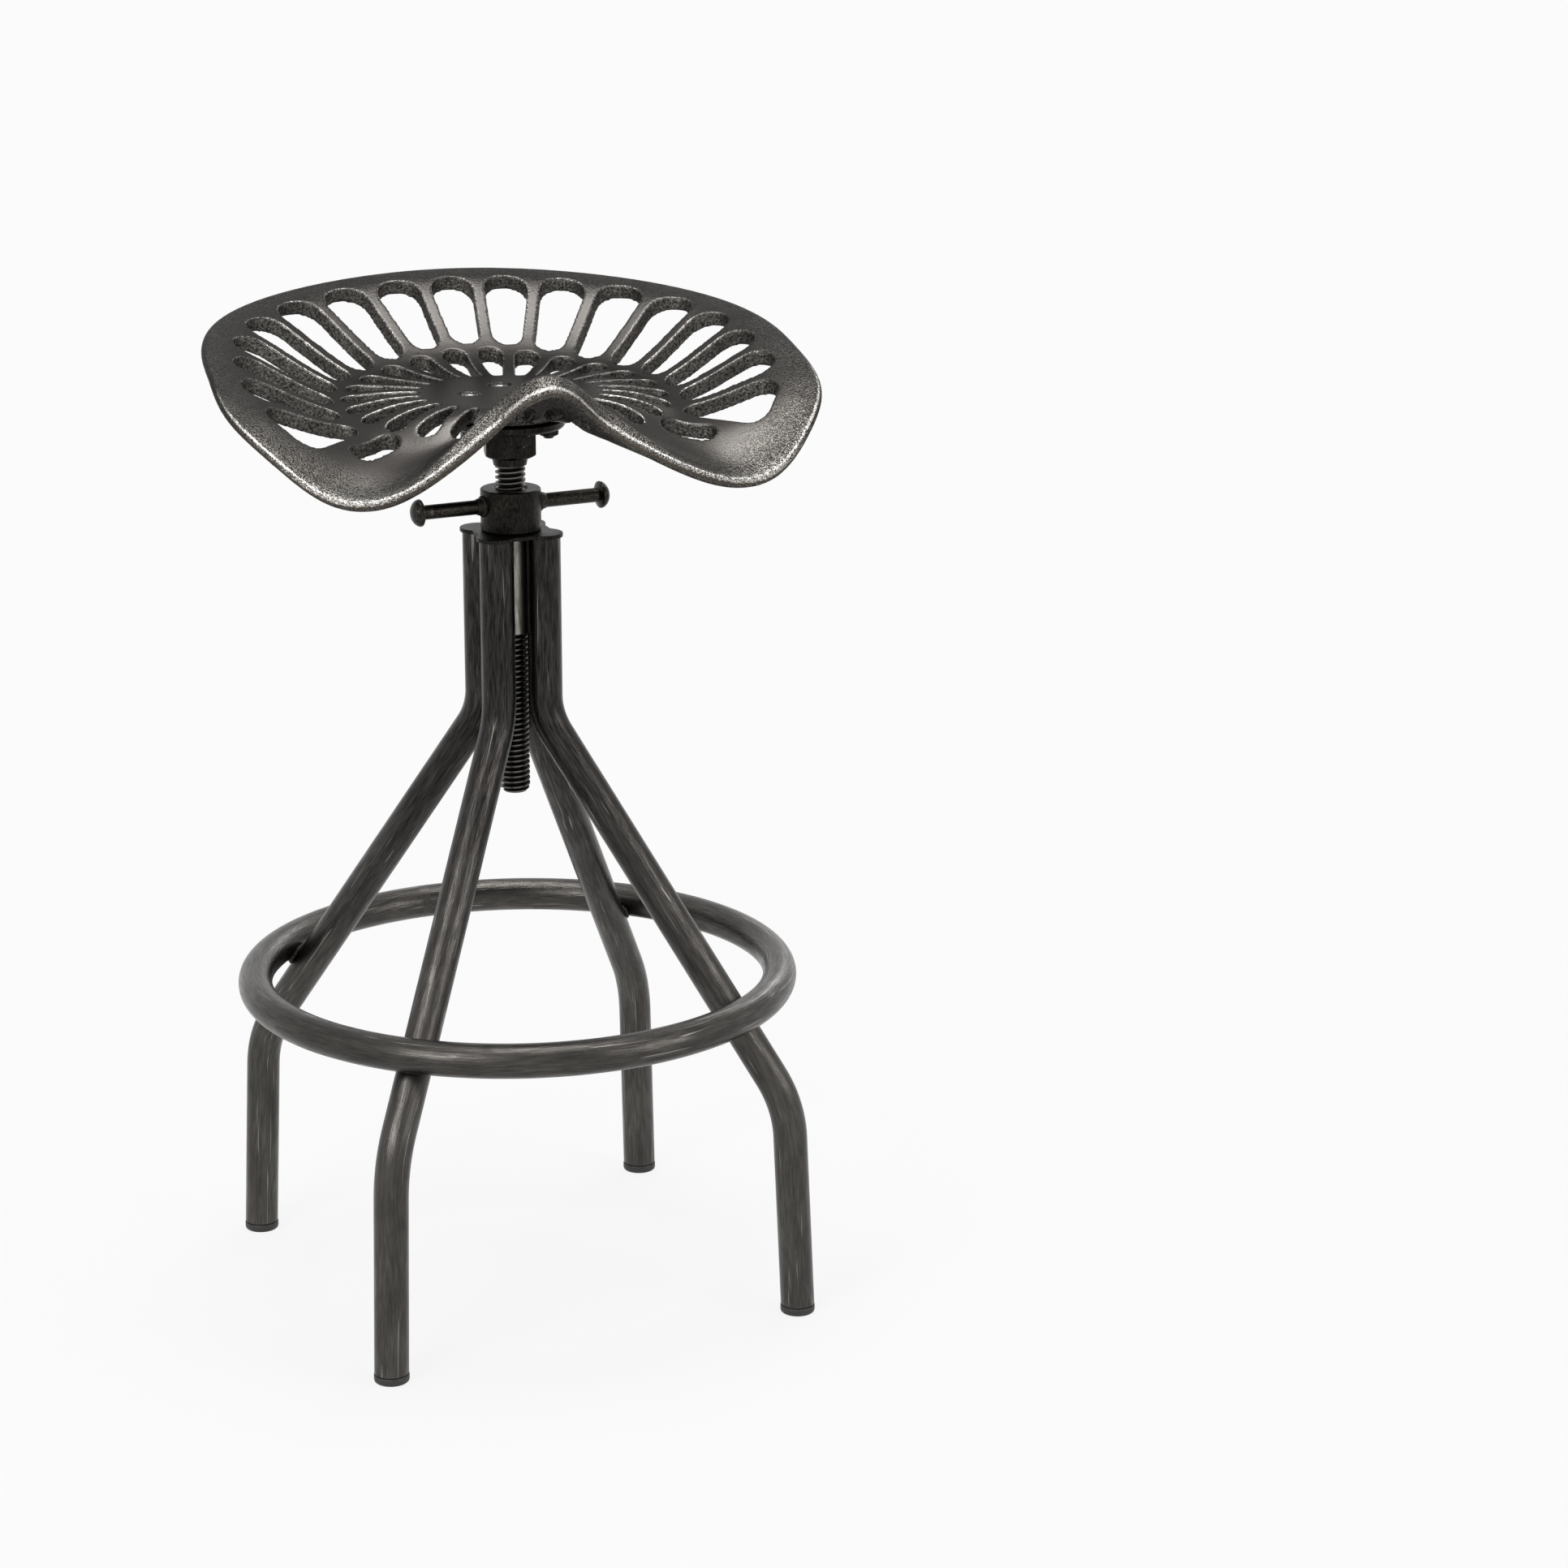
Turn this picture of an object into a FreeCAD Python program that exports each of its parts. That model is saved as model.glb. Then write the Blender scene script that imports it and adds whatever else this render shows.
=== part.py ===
"""Adjustable stool: cast tractor seat on a screw column with four bent tube legs and a foot ring.

Frame: millimetres, +Z up, origin on the floor under the screw axis, the seat's front towards -Y.
"""
import FreeCAD, Part
import math
import os
import Sketcher

DOC = FreeCAD.newDocument("stool")
SHEET = DOC.addObject("Spreadsheet::Sheet", "Sizes")
Z_AXIS = FreeCAD.Vector(0, 0, 1)
ORIGIN = FreeCAD.Vector(0, 0, 0)

# Driving dimensions, in millimetres and degrees. Each is written once and named by its cell.
SIZES = {
    # leg tubes
    "tube_dia": 25.0,
    "tube_wall": 2.0,
    "leg_count": 4,
    "leg_turn": 51.2,
    "leg_top": 574.0,
    "upper_bend_height": 439.7,
    "upper_bend_radius": 50.0,
    "lower_bend_height": 162.0,
    "lower_bend_radius": 86.0,
    "spread_radius": 217.3,
    "foot_radius": 224.9,
    "weld_gap": 0.05,
    # foot caps
    "cap_height": 7.0,
    "cap_lip": 0.3,
    "cap_edge": 1.5,
    "cap_stem_dia": 19.0,
    "cap_stem_length": 14.0,
    # foot ring
    "ring_height": 237.8,
    "ring_tube_dia": 25.0,
    # threaded sleeve and top plate
    "screw_dia": 22.0,
    "running_gap": 0.05,
    "sleeve_dia": 26.0,
    "sleeve_bottom": 501.0,
    "plate_thickness": 3.0,
    "plate_overhang": 1.8,
    "plate_centre_dia": 56.0,
    "plate_blend": 5.0,
    "plate_hole_gap": 1.0,
    # lock nut
    "collar_dia": 44.0,
    "collar_height": 31.0,
    "collar_mouth_dia": 26.0,
    "collar_mouth_depth": 2.5,
    "collar_edge": 1.0,
    "handle_dia": 10.5,
    "handle_turn": 9.5,
    "handle_height": 19.0,
    "handle_seat_depth": 7.0,
    "handle_reach": 79.0,
    "head_dia": 20.0,
    "head_height": 7.5,
    # screw
    "screw_bottom": 380.0,
    "screw_chamfer": 2.0,
    "screw_end_gap": 0.5,
    # seat flange with its socket
    "hub_gap": 23.0,
    "hub_length": 22.0,
    "hub_flats": 36.0,
    "hub_chamfer_run": 4.0,
    "hub_chamfer_rise": 2.6,
    "neck_top_dia": 26.5,
    "neck_dia": 24.0,
    "neck_length": 6.0,
    "socket_roof": 4.0,
    "flange_dia": 80.0,
    "flange_thickness": 6.0,
    "flange_edge": 1.5,
    # set screw
    "set_screw_dia": 12.0,
    "set_screw_lift": 14.0,
    "set_screw_turn": 231.3,
    "set_screw_sink": 0.8,
    "set_screw_gap": 0.3,
    "set_screw_key": 6.0,
    "set_screw_key_depth": 3.0,
    # seat bolts, washers and nuts
    "bolt_count": 4,
    "bolt_circle_radius": 29.0,
    "bolt_dia": 8.0,
    "bolt_hole_dia": 8.4,
    "bolt_head_dia": 16.0,
    "bolt_head_height": 4.0,
    "bolt_head_gap": 0.1,
    "bolt_sink": 1.0,
    "bolt_tail": 2.0,
    "bolt_key": 5.0,
    "bolt_key_depth": 2.5,
    "washer_dia": 16.0,
    "washer_thickness": 1.6,
    "nut_width": 13.0,
    "nut_height": 6.5,
    "nut_gap": 0.02,
    # seat casting
    "disc_radius": 58.0,
    "pan_thickness": 11.0,
    "boss_radius": 37.0,
    "boss_height": 8.5,
    # the rim: its crown, its nose, and its heel and lip below
    "rim_crown_run": 3.0,
    "rim_crown_rise": 1.5,
    "rim_nose_drop": 2.5,
    "rim_heel_run": 1.0,
    "rim_heel_drop": 6.0,
    "rim_lip_run": 6.0,
    "rim_lip_drop": 7.5,
    "rib_width": 9.3,
    # long slots
    "slot_count": 17,
    "slot_turn": 13.4,
    "slot_start": 138.0,
    "slot_rim_margin": 39.0,
    # the pair next to the front lobes widen into an ear
    "ear_turn": 6.4,
    "ear_radius": 175.5,
    "ear_round": 14.0,
    "ear_rim_margin": 48.0,
    # short slots round the disc
    "fan_count": 26,
    "fan_start": 68.0,
    # holes in the front lobes
    "lobe_hole_turn": 122.0,
    "lobe_hole_start": 124.0,
    "lobe_hole_end": 145.0,
    "lobe_hole_round": 9.5,
}

# Stations round half of the seat, from the middle of the back to the pommel in front: the turn
# from the back, the reach of the rim, the heights over the middle disc of the rim's edge, of the
# band inside the rim and of the pan's floor outside the disc, and the reach of the short slots.
STATIONS = {
    "back": {"turn": 0.0, "reach": 212.8, "edge": 56.6, "band": 53.1, "floor": 10.0, "fan": 112.0},
    "quarter": {"turn": 45.0, "reach": 227.7, "edge": 45.4, "band": 41.4, "floor": 1.0, "fan": 112.0},
    "side": {"turn": 90.0, "reach": 217.5, "edge": 23.3, "band": 19.3, "floor": -11.0, "fan": 110.0},
    "hip": {"turn": 112.5, "reach": 225.6, "edge": -1.8, "band": -2.8, "floor": -19.0, "fan": 105.5},
    "lobe": {"turn": 135.0, "reach": 201.2, "edge": -44.4, "band": -40.4, "floor": -23.0, "fan": 98.0},
    "notch": {"turn": 157.5, "reach": 126.2, "edge": -9.1, "band": 9.0, "floor": -6.0, "fan": 91.0},
    "pommel": {"turn": 180.0, "reach": 129.0, "edge": 24.3, "band": 34.7, "floor": 15.0, "fan": 87.0},
}

# Sections round the seat that carry its skin.
SECTION_COUNT = 36

# Heights and radii that several pieces share, as formulas in the sheet's aliases.
LEG_CIRCLE = "(sleeve_dia / 2 + weld_gap + tube_dia / 2)"
PLATE_TOP = "(leg_top + plate_thickness)"
HANDLE_LEVEL = f"({PLATE_TOP} + handle_height)"
HUB_BOTTOM = f"({PLATE_TOP} + collar_height + hub_gap)"
FLANGE_BOTTOM = f"({HUB_BOTTOM} + hub_length)"
FLANGE_TOP = f"({FLANGE_BOTTOM} + flange_thickness)"
SOCKET_TOP = f"({FLANGE_TOP} - socket_roof)"
SET_SCREW_LEVEL = f"({HUB_BOTTOM} + set_screw_lift)"
DISC_TOP = f"({FLANGE_TOP} + boss_height + pan_thickness)"
BORE = "(screw_dia / 2 + running_gap)"
HUB_CORNER = "(hub_flats / sqrt(3))"


def station_cells():
    """Name each number of each station for the sheet."""
    return {f"{station}_{quantity}": number for station, quantities in STATIONS.items()
            for quantity, number in quantities.items()}


CELLS = {**SIZES, **station_cells()}


def fill_sheet():
    """Write every driving dimension to the sheet, one aliased cell each."""
    for row, (alias, number) in enumerate(CELLS.items(), start=1):
        SHEET.set(f"A{row}", alias.replace("_", " "))
        SHEET.set(f"B{row}", str(number))
        SHEET.setAlias(f"B{row}", alias)
    DOC.recompute()


def bind(text):
    """Turn a formula in the sheet's aliases into an expression that any object can hold."""
    bound, word = "", ""
    for character in text + " ":
        if character.isalnum() or character == "_":
            word += character
            continue
        bound += f"Sizes.{word}" if word in CELLS else word
        bound += character
        word = ""
    return bound.strip()


def size(text):
    """Work out a formula in the sheet's aliases."""
    return float(SHEET.evalExpression(bind(text)))


def origin_item(body, role):
    """Find one of a body's own origin planes or axes."""
    return next(item for item in body.Origin.OriginFeatures if item.Role == role)


def new_body(label):
    """Start a body under its node's name."""
    body = DOC.addObject("PartDesign::Body", label)
    body.Label = label
    return body


def sketch_on(body, name, role, lift="0"):
    """Start a sketch on an origin plane of its body, lifted along the plane's normal."""
    sketch = body.newObject("Sketcher::SketchObject", name)
    sketch.AttachmentSupport = (origin_item(body, role), "")
    sketch.MapMode = "FlatFace"
    sketch.setExpression("AttachmentOffset.Base.z", bind(lift))
    return sketch


def hold(sketch, constraint, formula):
    """Add a dimension and tie it to the sheet."""
    index = sketch.addConstraint(constraint)
    sketch.setExpression(f"Constraints[{index}]", bind(formula))


def pin(sketch, edge, end, across, along):
    """Tie a point to the sheet by its distances across and along from the origin."""
    for kind, formula, axis in (("DistanceX", across, -2), ("DistanceY", along, -1)):
        distance = size(formula)
        if formula == "0":
            sketch.addConstraint(Sketcher.Constraint("PointOnObject", edge, end, axis))
        else:
            hold(sketch, Sketcher.Constraint(kind, -1, 1, edge, end, distance), formula)


def add_circle(sketch, diameter, across="0", along="0"):
    """Draw a circle with its centre and diameter bound to the sheet."""
    centre = FreeCAD.Vector(size(across), size(along), 0)
    circle = sketch.addGeometry(Part.Circle(centre, Z_AXIS, size(diameter) / 2), False)
    pin(sketch, circle, 3, across, along)
    hold(sketch, Sketcher.Constraint("Diameter", circle, size(diameter)), diameter)


def add_outline(sketch, corners):
    """Draw a closed outline through corners, each a pair of formulas, and tie every corner."""
    points = [FreeCAD.Vector(size(across), size(along), 0) for across, along in corners]
    edges = []
    for index, corner in enumerate(corners):
        line = Part.LineSegment(points[index], points[(index + 1) % len(points)])
        edges.append(sketch.addGeometry(line, False))
        pin(sketch, edges[-1], 1, *corner)
    for index, edge in enumerate(edges):
        following = edges[(index + 1) % len(edges)]
        sketch.addConstraint(Sketcher.Constraint("Coincident", edge, 2, following, 1))


def turn_outline(body, name, corners, axis="V_Axis"):
    """Turn a closed outline once round the sketch's own axis."""
    sketch = sketch_on(body, f"{name}_outline", "XZ_Plane")
    add_outline(sketch, corners)
    feature = body.newObject("PartDesign::Revolution", name)
    feature.Profile = sketch
    feature.ReferenceAxis = (sketch, [axis])
    feature.Angle = 360
    DOC.recompute()
    return feature


def cut_hole(body, sketch, depth, towards_normal):
    """Pocket a sketch and stop if nothing was cut."""
    before = body.Shape.Volume
    pocket = body.newObject("PartDesign::Pocket", f"{sketch.Label}_cut")
    pocket.Profile = sketch
    pocket.Reversed = towards_normal
    pocket.setExpression("Length", bind(depth))
    DOC.recompute()
    if before - body.Shape.Volume < 1:
        raise RuntimeError(f"{sketch.Label} cuts nothing")
    return pocket


def finished(part):
    """Recompute, then stop if the sub-part or anything in it failed."""
    DOC.recompute()
    for item in [part, *getattr(part, "Group", [])]:
        if "Invalid" in item.State or "Error" in item.State:
            raise RuntimeError(f"{part.Label}: {item.Label} failed")
    if part.Shape.isNull() or not part.Shape.isValid():
        raise RuntimeError(f"{part.Label} has no valid shape")
    return part


def placed(part, azimuth=0.0, base=ORIGIN):
    """Set a sub-part at its base, turned about the upright, and check it."""
    part.Placement = FreeCAD.Placement(base, FreeCAD.Rotation(Z_AXIS, azimuth))
    return finished(part)


def shape_part(label, shape, azimuth=0.0, base=ORIGIN):
    """Hold a shape as a sub-part under its node's name."""
    part = DOC.addObject("Part::Feature", label)
    part.Label = label
    part.Shape = shape
    return placed(part, azimuth, base)


def on_circle(radius, azimuth, height=0.0):
    """A point at a radius and a direction from the screw axis."""
    turn = math.radians(azimuth)
    return FreeCAD.Vector(radius * math.cos(turn), radius * math.sin(turn), height)


def leg_azimuths():
    """Each leg's name with its direction from the screw axis, in degrees from +X."""
    names = ("back_right", "back_left", "front_left", "front_right")
    step = 360 / size("leg_count")
    return [(name, size("leg_turn") + index * step) for index, name in enumerate(names)]


def draw_route(sketch, corners, bends):
    """Draw an open route of straight runs through corners, with a tangent arc at each bend."""
    points = [FreeCAD.Vector(size(across), size(along), 0) for across, along in corners]
    starts, ends, arcs = [points[0]], [], []
    for index, bend in enumerate(bends, start=1):
        back = (points[index - 1] - points[index]).normalize()
        ahead = (points[index + 1] - points[index]).normalize()
        half = back.getAngle(ahead) / 2
        reach = size(bend) / math.tan(half)
        middle = points[index] + (back + ahead).normalize() * (
            size(bend) / math.sin(half) - size(bend))
        ends.append(points[index] + back * reach)
        starts.append(points[index] + ahead * reach)
        arcs.append(Part.Arc(ends[-1], middle, starts[-1]))
    ends.append(points[-1])
    lines = [sketch.addGeometry(Part.LineSegment(first, last), False)
             for first, last in zip(starts, ends)]
    pin(sketch, lines[0], 1, *corners[0])
    pin(sketch, lines[-1], 2, *corners[-1])
    for index, (arc, bend) in enumerate(zip(arcs, bends)):
        curve = sketch.addGeometry(arc, False)
        near = (sketch.getPoint(curve, 1) - ends[index]).Length < 1e-6
        first, last = (1, 2) if near else (2, 1)
        sketch.addConstraint(Sketcher.Constraint("Tangent", lines[index], 2, curve, first))
        sketch.addConstraint(Sketcher.Constraint("Tangent", curve, last, lines[index + 1], 1))
        hold(sketch, Sketcher.Constraint("Radius", curve, size(bend)), bend)
        corner = sketch.addGeometry(Part.Point(points[index + 1]), True)
        pin(sketch, corner, 1, *corners[index + 1])
        for line in lines[index:index + 2]:
            sketch.addConstraint(Sketcher.Constraint("PointOnObject", corner, 1, line))


def make_leg(name, azimuth):
    """A bent tube: upright against the sleeve, sloping out, then almost upright to the floor."""
    body = new_body(f"leg_{name}")
    route = sketch_on(body, f"leg_{name}_route", "XZ_Plane")
    corners = [
        (LEG_CIRCLE, "leg_top"),
        (LEG_CIRCLE, "upper_bend_height"),
        ("spread_radius", "lower_bend_height"),
        ("foot_radius", "0"),
    ]
    draw_route(route, corners, ("upper_bend_radius", "lower_bend_radius"))
    section = sketch_on(body, f"leg_{name}_section", "XY_Plane", "leg_top")
    add_circle(section, "tube_dia", LEG_CIRCLE)
    add_circle(section, "tube_dia - 2 * tube_wall", LEG_CIRCLE)
    DOC.recompute()
    tube = body.newObject("PartDesign::AdditivePipe", f"leg_{name}_tube")
    tube.Profile = section
    tube.Spine = route
    DOC.recompute()
    trim = sketch_on(body, f"leg_{name}_foot_trim", "XY_Plane", "cap_height")
    add_circle(trim, "tube_dia * 3", "foot_radius")
    cut_hole(body, trim, "tube_dia", False)
    return placed(body, azimuth)


def foot_centre(azimuth):
    """The middle of a leg's cut end, brought down to the floor."""
    slope = (size("foot_radius") - size("spread_radius")) / size("lower_bend_height")
    return on_circle(size("foot_radius") - slope * size("cap_height"), azimuth)


def make_foot_cap(name, azimuth):
    """A plug with a stem inside the tube and a rounded foot a little wider than the tube."""
    body = new_body(f"foot_cap_{name}")
    foot = "tube_dia / 2 + cap_lip"
    stem_top = "cap_height + cap_stem_length"
    turn_outline(body, f"foot_cap_{name}_turned", [
        ("0", "0"),
        (f"{foot} - cap_edge", "0"),
        (foot, "cap_edge"),
        (foot, "cap_height"),
        ("cap_stem_dia / 2", "cap_height"),
        ("cap_stem_dia / 2", stem_top),
        ("0", stem_top),
    ])
    return placed(body, azimuth, foot_centre(azimuth))


def make_foot_ring():
    """A closed tube ring that lies against the outside of the sloping legs."""
    rise = size("upper_bend_height - lower_bend_height")
    run = size(f"spread_radius - {LEG_CIRCLE}")
    share = size("upper_bend_height - ring_height") / rise
    apart = size("(tube_dia + ring_tube_dia) / 2 + weld_gap")
    lean = math.atan2(run, rise)
    ring = DOC.addObject("Part::Torus", "foot_ring")
    ring.Label = "foot_ring"
    ring.Radius1 = size(LEG_CIRCLE) + share * run + apart / math.cos(lean)
    ring.setExpression("Radius2", bind("ring_tube_dia / 2"))
    return placed(ring, 0.0, on_circle(0, 0, size("ring_height")))


def make_sleeve():
    """The nut tube that the legs are welded round, bored to run on the screw."""
    body = new_body("screw_sleeve")
    turn_outline(body, "screw_sleeve_turned", [
        (BORE, "sleeve_bottom"),
        ("sleeve_dia / 2", "sleeve_bottom"),
        ("sleeve_dia / 2", "leg_top"),
        (BORE, "leg_top"),
    ])
    return placed(body)


def make_top_plate():
    """A thin four-lobed plate that caps the leg tubes, bored clear of the screw."""
    bottom, thickness = size("leg_top"), size("plate_thickness")
    lobe = size("tube_dia / 2 + plate_overhang")
    plate = Part.makeCylinder(size("plate_centre_dia / 2"), thickness, on_circle(0, 0, bottom))
    for _, azimuth in leg_azimuths():
        seat = on_circle(size(LEG_CIRCLE), azimuth, bottom)
        plate = plate.fuse(Part.makeCylinder(lobe, thickness, seat))
    plate = plate.removeSplitter()
    valleys = [edge for edge in plate.Edges
               if isinstance(edge.Curve, Part.Line) and abs(edge.Length - thickness) < 1e-6
               and abs(edge.CenterOfMass.z - bottom - thickness / 2) < 1e-6
               and math.hypot(edge.CenterOfMass.x, edge.CenterOfMass.y)
               < size("plate_centre_dia / 2") + 1e-3]
    plate = plate.makeFillet(size("plate_blend"), valleys)
    bore = size("screw_dia / 2 + plate_hole_gap")
    plate = plate.cut(Part.makeCylinder(bore, thickness, on_circle(0, 0, bottom)))
    return shape_part("top_plate", plate)


def make_lock_collar():
    """The thick round nut that is screwed down on the top plate, drilled for two handles."""
    body = new_body("lock_collar")
    outer = "collar_dia / 2"
    top = f"{PLATE_TOP} + collar_height"
    turn_outline(body, "lock_collar_turned", [
        (BORE, PLATE_TOP),
        (f"{outer} - collar_edge", PLATE_TOP),
        (outer, f"{PLATE_TOP} + collar_edge"),
        (outer, f"{top} - collar_edge"),
        (f"{outer} - collar_edge", top),
        ("collar_mouth_dia / 2", top),
        (BORE, f"{top} - collar_mouth_depth"),
    ])
    for side, start in (("right", "collar_dia / 2 - handle_seat_depth"),
                        ("left", "handle_seat_depth - collar_dia / 2")):
        seat = sketch_on(body, f"handle_seat_{side}", "YZ_Plane", start)
        add_circle(seat, "handle_dia + 2 * weld_gap", "0", HANDLE_LEVEL)
        cut_hole(body, seat, "collar_dia", side == "right")
    return placed(body, size("handle_turn"))


def make_lock_handle(side, azimuth):
    """A round rod with a mushroom head, held in the collar."""
    body = new_body(f"lock_handle_{side}")
    rod, head = "handle_dia / 2", "head_dia / 2"
    turn_outline(body, f"lock_handle_{side}_turned", [
        ("collar_dia / 2 - handle_seat_depth + weld_gap", "0"),
        ("collar_dia / 2 - handle_seat_depth + weld_gap", rod),
        ("handle_reach - head_height", rod),
        ("handle_reach - head_height", head),
        ("handle_reach - head_height * 0.72", head),
        ("handle_reach - head_height * 0.3", "head_dia * 0.37"),
        ("handle_reach", "head_dia * 0.15"),
        ("handle_reach", "0"),
    ], "H_Axis")
    return placed(body, azimuth, on_circle(0, 0, size(HANDLE_LEVEL)))


def make_screw_rod():
    """The threaded rod that carries the seat, drawn at its crest, with a chamfered lower end."""
    body = new_body("screw_rod")
    top = f"{SOCKET_TOP} - screw_end_gap"
    turn_outline(body, "screw_rod_turned", [
        ("0", "screw_bottom"),
        ("screw_dia / 2 - screw_chamfer", "screw_bottom"),
        ("screw_dia / 2", "screw_bottom + screw_chamfer"),
        ("screw_dia / 2", top),
        ("0", top),
    ])
    return placed(body)


def make_seat_flange():
    """The flange with a hexagonal socket: four bolt holes and a tapped hole for a set screw."""
    body = new_body("seat_flange")
    flange = "flange_dia / 2"
    turn_outline(body, "seat_flange_turned", [
        (BORE, f"{HUB_BOTTOM} - neck_length"),
        ("neck_dia / 2", f"{HUB_BOTTOM} - neck_length"),
        ("neck_top_dia / 2", HUB_BOTTOM),
        (f"{HUB_CORNER} - hub_chamfer_run", HUB_BOTTOM),
        (HUB_CORNER, f"{HUB_BOTTOM} + hub_chamfer_rise"),
        (HUB_CORNER, FLANGE_BOTTOM),
        (f"{flange} - flange_edge", FLANGE_BOTTOM),
        (flange, f"{FLANGE_BOTTOM} + flange_edge"),
        (flange, FLANGE_TOP),
        ("0", FLANGE_TOP),
        ("0", SOCKET_TOP),
        (BORE, SOCKET_TOP),
    ])
    flats = sketch_on(body, "hub_flats_outline", "XY_Plane", HUB_BOTTOM)
    half, side = "hub_flats / 2", f"{HUB_CORNER} / 2"
    add_circle(flats, f"{HUB_CORNER} * 2.2")
    add_outline(flats, [(half, f"-{side}"), (half, side), ("0", HUB_CORNER),
                        (f"-{half}", side), (f"-{half}", f"-{side}"), ("0", f"-{HUB_CORNER}")])
    cut_hole(body, flats, "hub_length", True)
    tapped = sketch_on(body, "set_screw_hole", "YZ_Plane")
    add_circle(tapped, "set_screw_dia + 2 * weld_gap", "0", SET_SCREW_LEVEL)
    cut_hole(body, tapped, "hub_flats", True)
    first = sketch_on(body, "flange_bolt_hole", "XY_Plane", FLANGE_BOTTOM)
    add_circle(first, "bolt_hole_dia", "bolt_circle_radius * cos(set_screw_turn)",
               "-bolt_circle_radius * sin(set_screw_turn)")
    hole = cut_hole(body, first, "flange_thickness", True)
    pattern = body.newObject("PartDesign::PolarPattern", "flange_bolt_holes")
    pattern.Originals = [hole]
    pattern.Axis = (origin_item(body, "Z_Axis"), [""])
    pattern.Angle = 360
    pattern.setExpression("Occurrences", bind("bolt_count"))
    body.Tip = pattern
    return placed(body, size("set_screw_turn"))


def hexagon(across_flats, height, base, direction=Z_AXIS):
    """A hexagonal prism that rises from its base point."""
    turn = FreeCAD.Rotation(Z_AXIS, direction)
    corners = [base + turn.multVec(on_circle(across_flats / math.sqrt(3), 60 * index))
               for index in range(7)]
    return Part.Face(Part.makePolygon(corners)).extrude(direction * height)


def make_set_screw():
    """A socket set screw through the hub, its point just off the screw rod."""
    outward = FreeCAD.Vector(1, 0, 0)
    start = size("screw_dia / 2 + set_screw_gap")
    end = size("hub_flats / 2 - set_screw_sink")
    depth = size("set_screw_key_depth")
    screw = Part.makeCylinder(size("set_screw_dia / 2"), end - start, outward * start, outward)
    screw = screw.cut(hexagon(size("set_screw_key"), depth, outward * (end - depth), outward))
    level = on_circle(0, 0, size(SET_SCREW_LEVEL))
    return shape_part("set_screw", screw, size("set_screw_turn"), level)


def bolt_centres():
    """The middles of the seat bolts, from the back round to the left."""
    step = 360 / size("bolt_count")
    return [on_circle(size("bolt_circle_radius"), index * step)
            for index in range(int(size("bolt_count")))]


def bolt_group(label, shape):
    """Set one copy of a fastener on each bolt centre, as one node of separate solids."""
    copies = []
    for centre in bolt_centres():
        copy = shape.copy()
        copy.translate(centre)
        copies.append(copy)
    return shape_part(label, Part.makeCompound(copies))


def make_seat_bolts():
    """Countersunk bolts with a key socket, sunk a little in the seat's disc."""
    top = size(f"{DISC_TOP} - bolt_sink")
    washer_bottom = size(f"{FLANGE_BOTTOM} - washer_thickness")
    bottom = washer_bottom - size("nut_height + bolt_tail")
    shank, head = size("bolt_dia / 2"), size("bolt_head_dia / 2")
    depth = size("bolt_head_height")
    bolt = Part.makeCylinder(shank, top - bottom, on_circle(0, 0, bottom))
    bolt = bolt.fuse(Part.makeCone(shank, head, depth, on_circle(0, 0, top - depth)))
    key = size("bolt_key_depth")
    bolt = bolt.cut(hexagon(size("bolt_key"), key, on_circle(0, 0, top - key)))
    return bolt_group("seat_bolts", bolt)


def make_seat_washers():
    """Plain washers under the flange."""
    bottom = on_circle(0, 0, size(f"{FLANGE_BOTTOM} - washer_thickness"))
    thickness = size("washer_thickness")
    washer = Part.makeCylinder(size("washer_dia / 2"), thickness, bottom)
    washer = washer.cut(Part.makeCylinder(size("bolt_hole_dia / 2"), thickness, bottom))
    return bolt_group("seat_washers", washer)


def make_seat_nuts():
    """Hexagonal nuts against the washers."""
    bottom = on_circle(0, 0, size(f"{FLANGE_BOTTOM} - washer_thickness - nut_height"))
    height = size("nut_height")
    nut = hexagon(size("nut_width"), height, bottom)
    nut = nut.cut(Part.makeCylinder(size("bolt_dia / 2 + nut_gap"), height, bottom))
    return bolt_group("seat_nuts", nut)


def station_curve(quantity):
    """Give a station quantity as a curve over the turn from the back, smooth all the way round."""
    turns = [size(f"{station}_turn") for station in STATIONS]
    levels = [size(f"{station}_{quantity}") for station in STATIONS]
    slopes = [0.0]
    for index in range(1, len(turns) - 1):
        before = (levels[index] - levels[index - 1]) / (turns[index] - turns[index - 1])
        after = (levels[index + 1] - levels[index]) / (turns[index + 1] - turns[index])
        slopes.append((before + after) / 2)
    slopes.append(0.0)

    def level(turn):
        turn = abs((turn + 180) % 360 - 180)
        first = max(index for index in range(len(turns) - 1) if turns[index] <= turn)
        step = turns[first + 1] - turns[first]
        part = (turn - turns[first]) / step
        rise = levels[first + 1] - levels[first]
        start, end = slopes[first] * step, slopes[first + 1] * step
        bend = start + end - 2 * rise
        return levels[first] + part * (start + part * (3 * rise - 2 * start - end + part * bend))

    return level


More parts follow.
